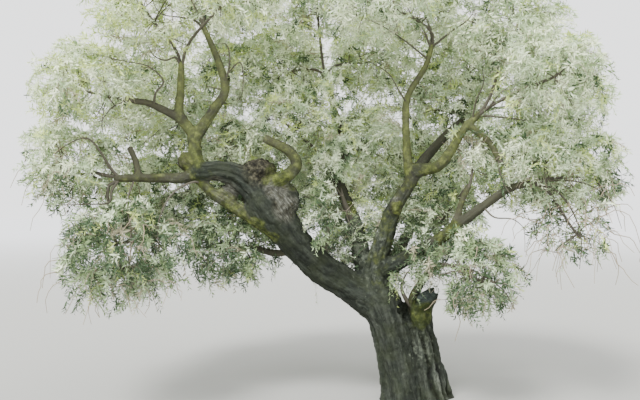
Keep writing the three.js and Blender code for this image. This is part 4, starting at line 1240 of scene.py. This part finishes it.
# Wood of the crown
# Stems and twigs are round and taper to their ends, in grey bark that turns paler towards the
# shoots. Each grows on from a thicker one.
def lines_mesh(name, lines, **values):
    """Lines as a mesh of edges, with numbers at every point of theirs."""
    count, points, _ = lines.shape
    first = np.arange(count * points).reshape(count, points)[:, :-1].ravel()
    mesh = bpy.data.meshes.new(name)
    mesh.from_pydata(lines.reshape(-1, 3), np.stack([first, first + 1], axis=1), [])
    for key, value in values.items():
        set_values(mesh, key, np.broadcast_to(value, (count, points)).ravel())
    return mesh


def stick_tree():
    """Round sticks along lines, as thick as the lines say."""
    tree, given, result = new_tree("sticks", {"Sides": "NodeSocketInt", "Material": "NodeSocketMaterial"})
    curves = add(tree, "GeometryNodeMeshToCurve", {"Mesh": given.outputs["Geometry"]}).outputs[0]
    thickness = add(tree, "GeometryNodeInputNamedAttribute", ["thickness"], data_type="FLOAT").outputs[0]
    ring = add(tree, "GeometryNodeCurvePrimitiveCircle",
               {"Resolution": given.outputs["Sides"], "Radius": 1.0}).outputs[0]
    round_curve = {"Curve": curves, "Profile Curve": ring, "Scale": thickness, "Fill Caps": True}
    tube = add(tree, "GeometryNodeCurveToMesh", round_curve).outputs[0]
    whole = add(tree, "GeometryNodeRealizeInstances", {"Geometry": tube}).outputs[0]
    finished = add(tree, "GeometryNodeSetMaterial",
                   {"Geometry": whole, "Material": given.outputs["Material"]}).outputs[0]
    tree.links.new(finished, result.inputs[0])
    return tree


def drop_values(mesh, *names):
    """Takes numbers that only helped to shape a mesh off it again."""
    for name in names:
        if name in mesh.attributes:
            mesh.attributes.remove(mesh.attributes[name])


def plain_material(name, code, roughness):
    material = bpy.data.materials.new(name)
    material.use_nodes = True
    shader = material.node_tree.nodes["Principled BSDF"]
    shader.inputs["Base Color"].default_value = colour(code)
    shader.inputs["Roughness"].default_value = roughness
    shader.inputs["Specular IOR Level"].default_value = 0.3
    return material


twig_bark = plain_material("twig bark", "59554a", 0.9)
young_bark = plain_material("young bark", "938a78", 0.8)
dry_bark = plain_material("dry bark", "a3967f", 0.9)
stalks = [lines for lines, *_ in shoots]
stick_growth = stick_tree()
# Of each kind: its lines, the radius at foot and tip, how many sides it has, and its bark.
for name, parts, foot, tip, sides, material in (
    ("arches", [[arch.line for arch in arches]], arch_radii, 0.003, 6, twig_bark),
    ("stems", [stem_lines], [mass.foot_radius for mass in masses], STEM_TIP_RADIUS * MM, 8, twig_bark),
    ("first_twigs", first_lines, TWIG_RADIUS, 0.005, 6, twig_bark),
    ("thin_twigs", thin_lines, 0.007, 0.0035, 5, twig_bark),
    ("side_twigs", side_lines, 0.0038, 0.0022, 3, young_bark),
    ("bare_twigs", whips, 0.006, 0.003, 4, dry_bark),
    ("shoot_stalks", stalks[::2], 0.0022, 0.0009, 3, young_bark),
    ("more_shoot_stalks", stalks[1::2], 0.0022, 0.0009, 3, young_bark),
):
    lines = np.concatenate(parts)
    share = np.linspace(0, 1, lines.shape[1])
    thickness = np.reshape(foot, (-1, 1)) * (1 - share) + tip * share
    source = add_object(name, lines_mesh(name, lines, thickness=thickness))
    mesh = shaped_by(stick_growth, source, sides=sides, material=material)
    drop_values(mesh, "thickness", "radius")
    mesh.shade_smooth()
    put_in_place(name, mesh, [f"{mass.name}_foliage" for mass in masses])

# Leaves
# Narrow leathery leaves in pairs along the shoots, each in one tint, from dark green to
# silvery. Each is a thin lance of two faces, bent where it is broadest.
LEAF_LENGTH = 0.083
LEAF_WIDTH = 0.02
LEAF_LEAN = math.radians(48)
LEAF_SPACING = 0.0235
LEAF_SIZES = 0.6, 1.2
LEAF_VIGOUR = [0.75, 1.05, 1, 0.65]  # along a shoot: leaves are largest in its middle


def leaf_pair():
    """Two leaves that stand opposite each other on a shoot that runs up through them."""
    outline = [(0.03, 0, 0), (0.42, 0.5, 0.05), (0.42, -0.5, 0.05), (1, 0, -0.06)]
    corners, faces = [], []
    for side in (1, -1):
        first = len(corners)
        for along, across, up in outline:
            out = along * math.sin(LEAF_LEAN) - up * math.cos(LEAF_LEAN)
            rise = along * math.cos(LEAF_LEAN) + up * math.sin(LEAF_LEAN)
            corners.append((side * out * LEAF_LENGTH, side * across * LEAF_WIDTH, rise * LEAF_LENGTH))
        faces += [[first + k for k in face] for face in ((0, 2, 1), (1, 2, 3))]
    mesh = bpy.data.meshes.new("leaf pair")
    mesh.from_pydata(corners, [], faces)
    return add_object("leaf_pair", mesh)


def leaf_tree(tints):
    """Pairs of leaves at even steps along shoots, each pair turned a quarter from the last."""
    sizes = {"Spacing": "NodeSocketFloat", "Pair": "NodeSocketObject", "Least size": "NodeSocketFloat",
             "Greatest size": "NodeSocketFloat", "Seed": "NodeSocketInt"}
    tree, given, result = new_tree("leaves", sizes)
    maths = partial(math_node, tree)

    def attribute(name):
        return add(tree, "GeometryNodeInputNamedAttribute", [name], data_type="FLOAT").outputs[0]

    def chance(low, high, step):
        seed = maths("ADD", given.outputs["Seed"], float(step))
        wires = {"Min_001": low, "Max_001": high, "Seed": seed}
        return add(tree, "FunctionNodeRandomValue", wires, data_type="FLOAT").outputs[1]

    curves = add(tree, "GeometryNodeMeshToCurve", {"Mesh": given.outputs["Geometry"]}).outputs[0]
    dots = add(tree, "GeometryNodeCurveToPoints", {"Curve": curves, "Length": given.outputs["Spacing"]},
               mode="LENGTH")
    wires = {"Primary Axis": dots.outputs["Tangent"], "Secondary Axis": dots.outputs["Normal"]}
    axes = {"primary_axis": "Z", "secondary_axis": "X"}
    upright = add(tree, "FunctionNodeAxesToRotation", wires, **axes).outputs[0]
    number = add(tree, "GeometryNodeInputIndex").outputs[0]
    turned = maths("ADD", maths("MULTIPLY", number, math.pi / 2), chance(-0.5, 0.5, 0))
    angles = [chance(-0.6, 0.6, 1), chance(-0.6, 0.6, 2), turned]
    tilt = add(tree, "ShaderNodeCombineXYZ", angles).outputs[0]
    euler = add(tree, "FunctionNodeEulerToRotation", [tilt]).outputs[0]
    facing = add(tree, "FunctionNodeRotateRotation", [upright, euler], rotation_space="LOCAL").outputs[0]
    pair = add(tree, "GeometryNodeObjectInfo", {"Object": given.outputs["Pair"]}).outputs["Geometry"]
    size = chance(given.outputs["Least size"], given.outputs["Greatest size"], 3)
    size = maths("MULTIPLY", size, attribute("vigour"))
    wires = {"Points": dots.outputs["Points"], "Instance": pair, "Rotation": facing, "Scale": size}
    placed = add(tree, "GeometryNodeInstanceOnPoints", wires).outputs[0]
    leaves = add(tree, "GeometryNodeRealizeInstances", {"Geometry": placed}).outputs[0]
    for tint, material in enumerate(tints):
        wires = {"A": attribute("tint"), "B": float(tint), "Epsilon": 0.5}
        here = add(tree, "FunctionNodeCompare", wires, data_type="FLOAT", operation="EQUAL").outputs[0]
        wires = {"Geometry": leaves, "Selection": here}
        coloured = add(tree, "GeometryNodeSetMaterial", wires)
        coloured.inputs["Material"].default_value = material
        leaves = coloured.outputs[0]
    tree.links.new(leaves, result.inputs[0])
    return tree


REGIONS = {
    "left_leaves": ["left_outer", "left_low", "left_low_inner", "left_high", "upper_left",
                    "front_left_high", "left_inner_high", "inner_left"],
    "left_back_leaves": ["left_back_low", "left_back_high", "left_back_inner", "back_left",
                         "upper_back"],
    "middle_leaves": ["top_left", "top_middle", "middle_left", "front_high"],
    "middle_back_leaves": ["high_back", "middle_right", "top_right"],
    "right_leaves": ["right_top", "front_right", "right_mid", "right_high", "right_outer",
                     "right_hang", "inner_right", "right_inner_low", "low_right"],
    "right_back_leaves": ["right_back_top", "right_inner", "right_back", "back_right",
                          "back_middle"],
}
leaf_materials = [plain_material(f"{name} leaves", code, 0.55) for name, code in TINTS.items()]
leaf_growth = leaf_tree(leaf_materials)
pair = leaf_pair()
mass_names = [mass.name for mass in masses]
for seed, (region, members) in enumerate(REGIONS.items()):
    chosen = [shoots[mass_names.index(member)] for member in members]
    lines, tint, size = (np.concatenate(parts) for parts in zip(*chosen))
    vigour = LEAF_VIGOUR * size[:, None]
    source = add_object(region, lines_mesh(region, lines, vigour=vigour, tint=tint[:, None]))
    mesh = shaped_by(leaf_growth, source, spacing=LEAF_SPACING, pair=pair, least_size=LEAF_SIZES[0],
                     greatest_size=LEAF_SIZES[1], seed=seed)
    drop_values(mesh, "vigour", "tint", "radius")
    put_in_place(region, mesh, [f"{member}_foliage" for member in members])
bpy.data.objects.remove(pair)

# Floor, light and camera
# A plain pale floor that grows as light as the sky at its far edge, so that no line shows there.
FLOOR_SIZE = 160
NEAR_FLOOR, FAR_FLOOR = "a3a39e", "d0d1d3"
SKY = 2.4
SUN = 5.0
floor_mesh = bpy.data.meshes.new("floor")
half = FLOOR_SIZE / 2
floor_corners = [(-half, -half, 0), (half, -half, 0), (half, half, 0), (-half, half, 0)]
floor_mesh.from_pydata(floor_corners, [], [(0, 1, 2, 3)])
floor = add_object("floor", floor_mesh)
floor_material = plain_material("floor", NEAR_FLOOR, 0.9)
tree = floor_material.node_tree
place = add(tree, "ShaderNodeTexCoord").outputs["Object"]
distance = add(tree, "ShaderNodeVectorMath", [place], operation="LENGTH").outputs["Value"]
far = add(tree, "ShaderNodeMapRange", [distance, 5.0, 50.0], interpolation_type="SMOOTHERSTEP")
wires = {"Factor_Float": far.outputs[0], "A_Color": colour(NEAR_FLOOR), "B_Color": colour(FAR_FLOOR)}
shade = add(tree, "ShaderNodeMix", wires, data_type="RGBA")
tree.links.new(shade.outputs["Result"], tree.nodes["Principled BSDF"].inputs["Base Color"])
floor_mesh.materials.append(floor_material)
floor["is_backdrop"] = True
world = bpy.data.worlds.new("studio")
bpy.context.scene.world = world
world.use_nodes = True
world.node_tree.nodes["Background"].inputs["Color"].default_value = (0.95, 0.96, 0.97, 1)
world.node_tree.nodes["Background"].inputs["Strength"].default_value = SKY
sun = add_object("key_light", bpy.data.lights.new("key light", "SUN"))
sun.data.energy = SUN
sun.data.angle = 0.35
sun.rotation_euler = (0.5, -0.4, 0)

lens = bpy.data.cameras.new("camera")
lens.lens = 38.6
lens.sensor_width = 36
lens.clip_end = 200
camera = add_object("camera", lens)
camera.location = VIEWER
camera.rotation_euler = (math.pi / 2, 0, 0)
bpy.context.scene.camera = camera

boxes = {"cad": cad_box, "visual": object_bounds()}
{name: [list(corner) for corner in box] for name, box in boxes.items()}
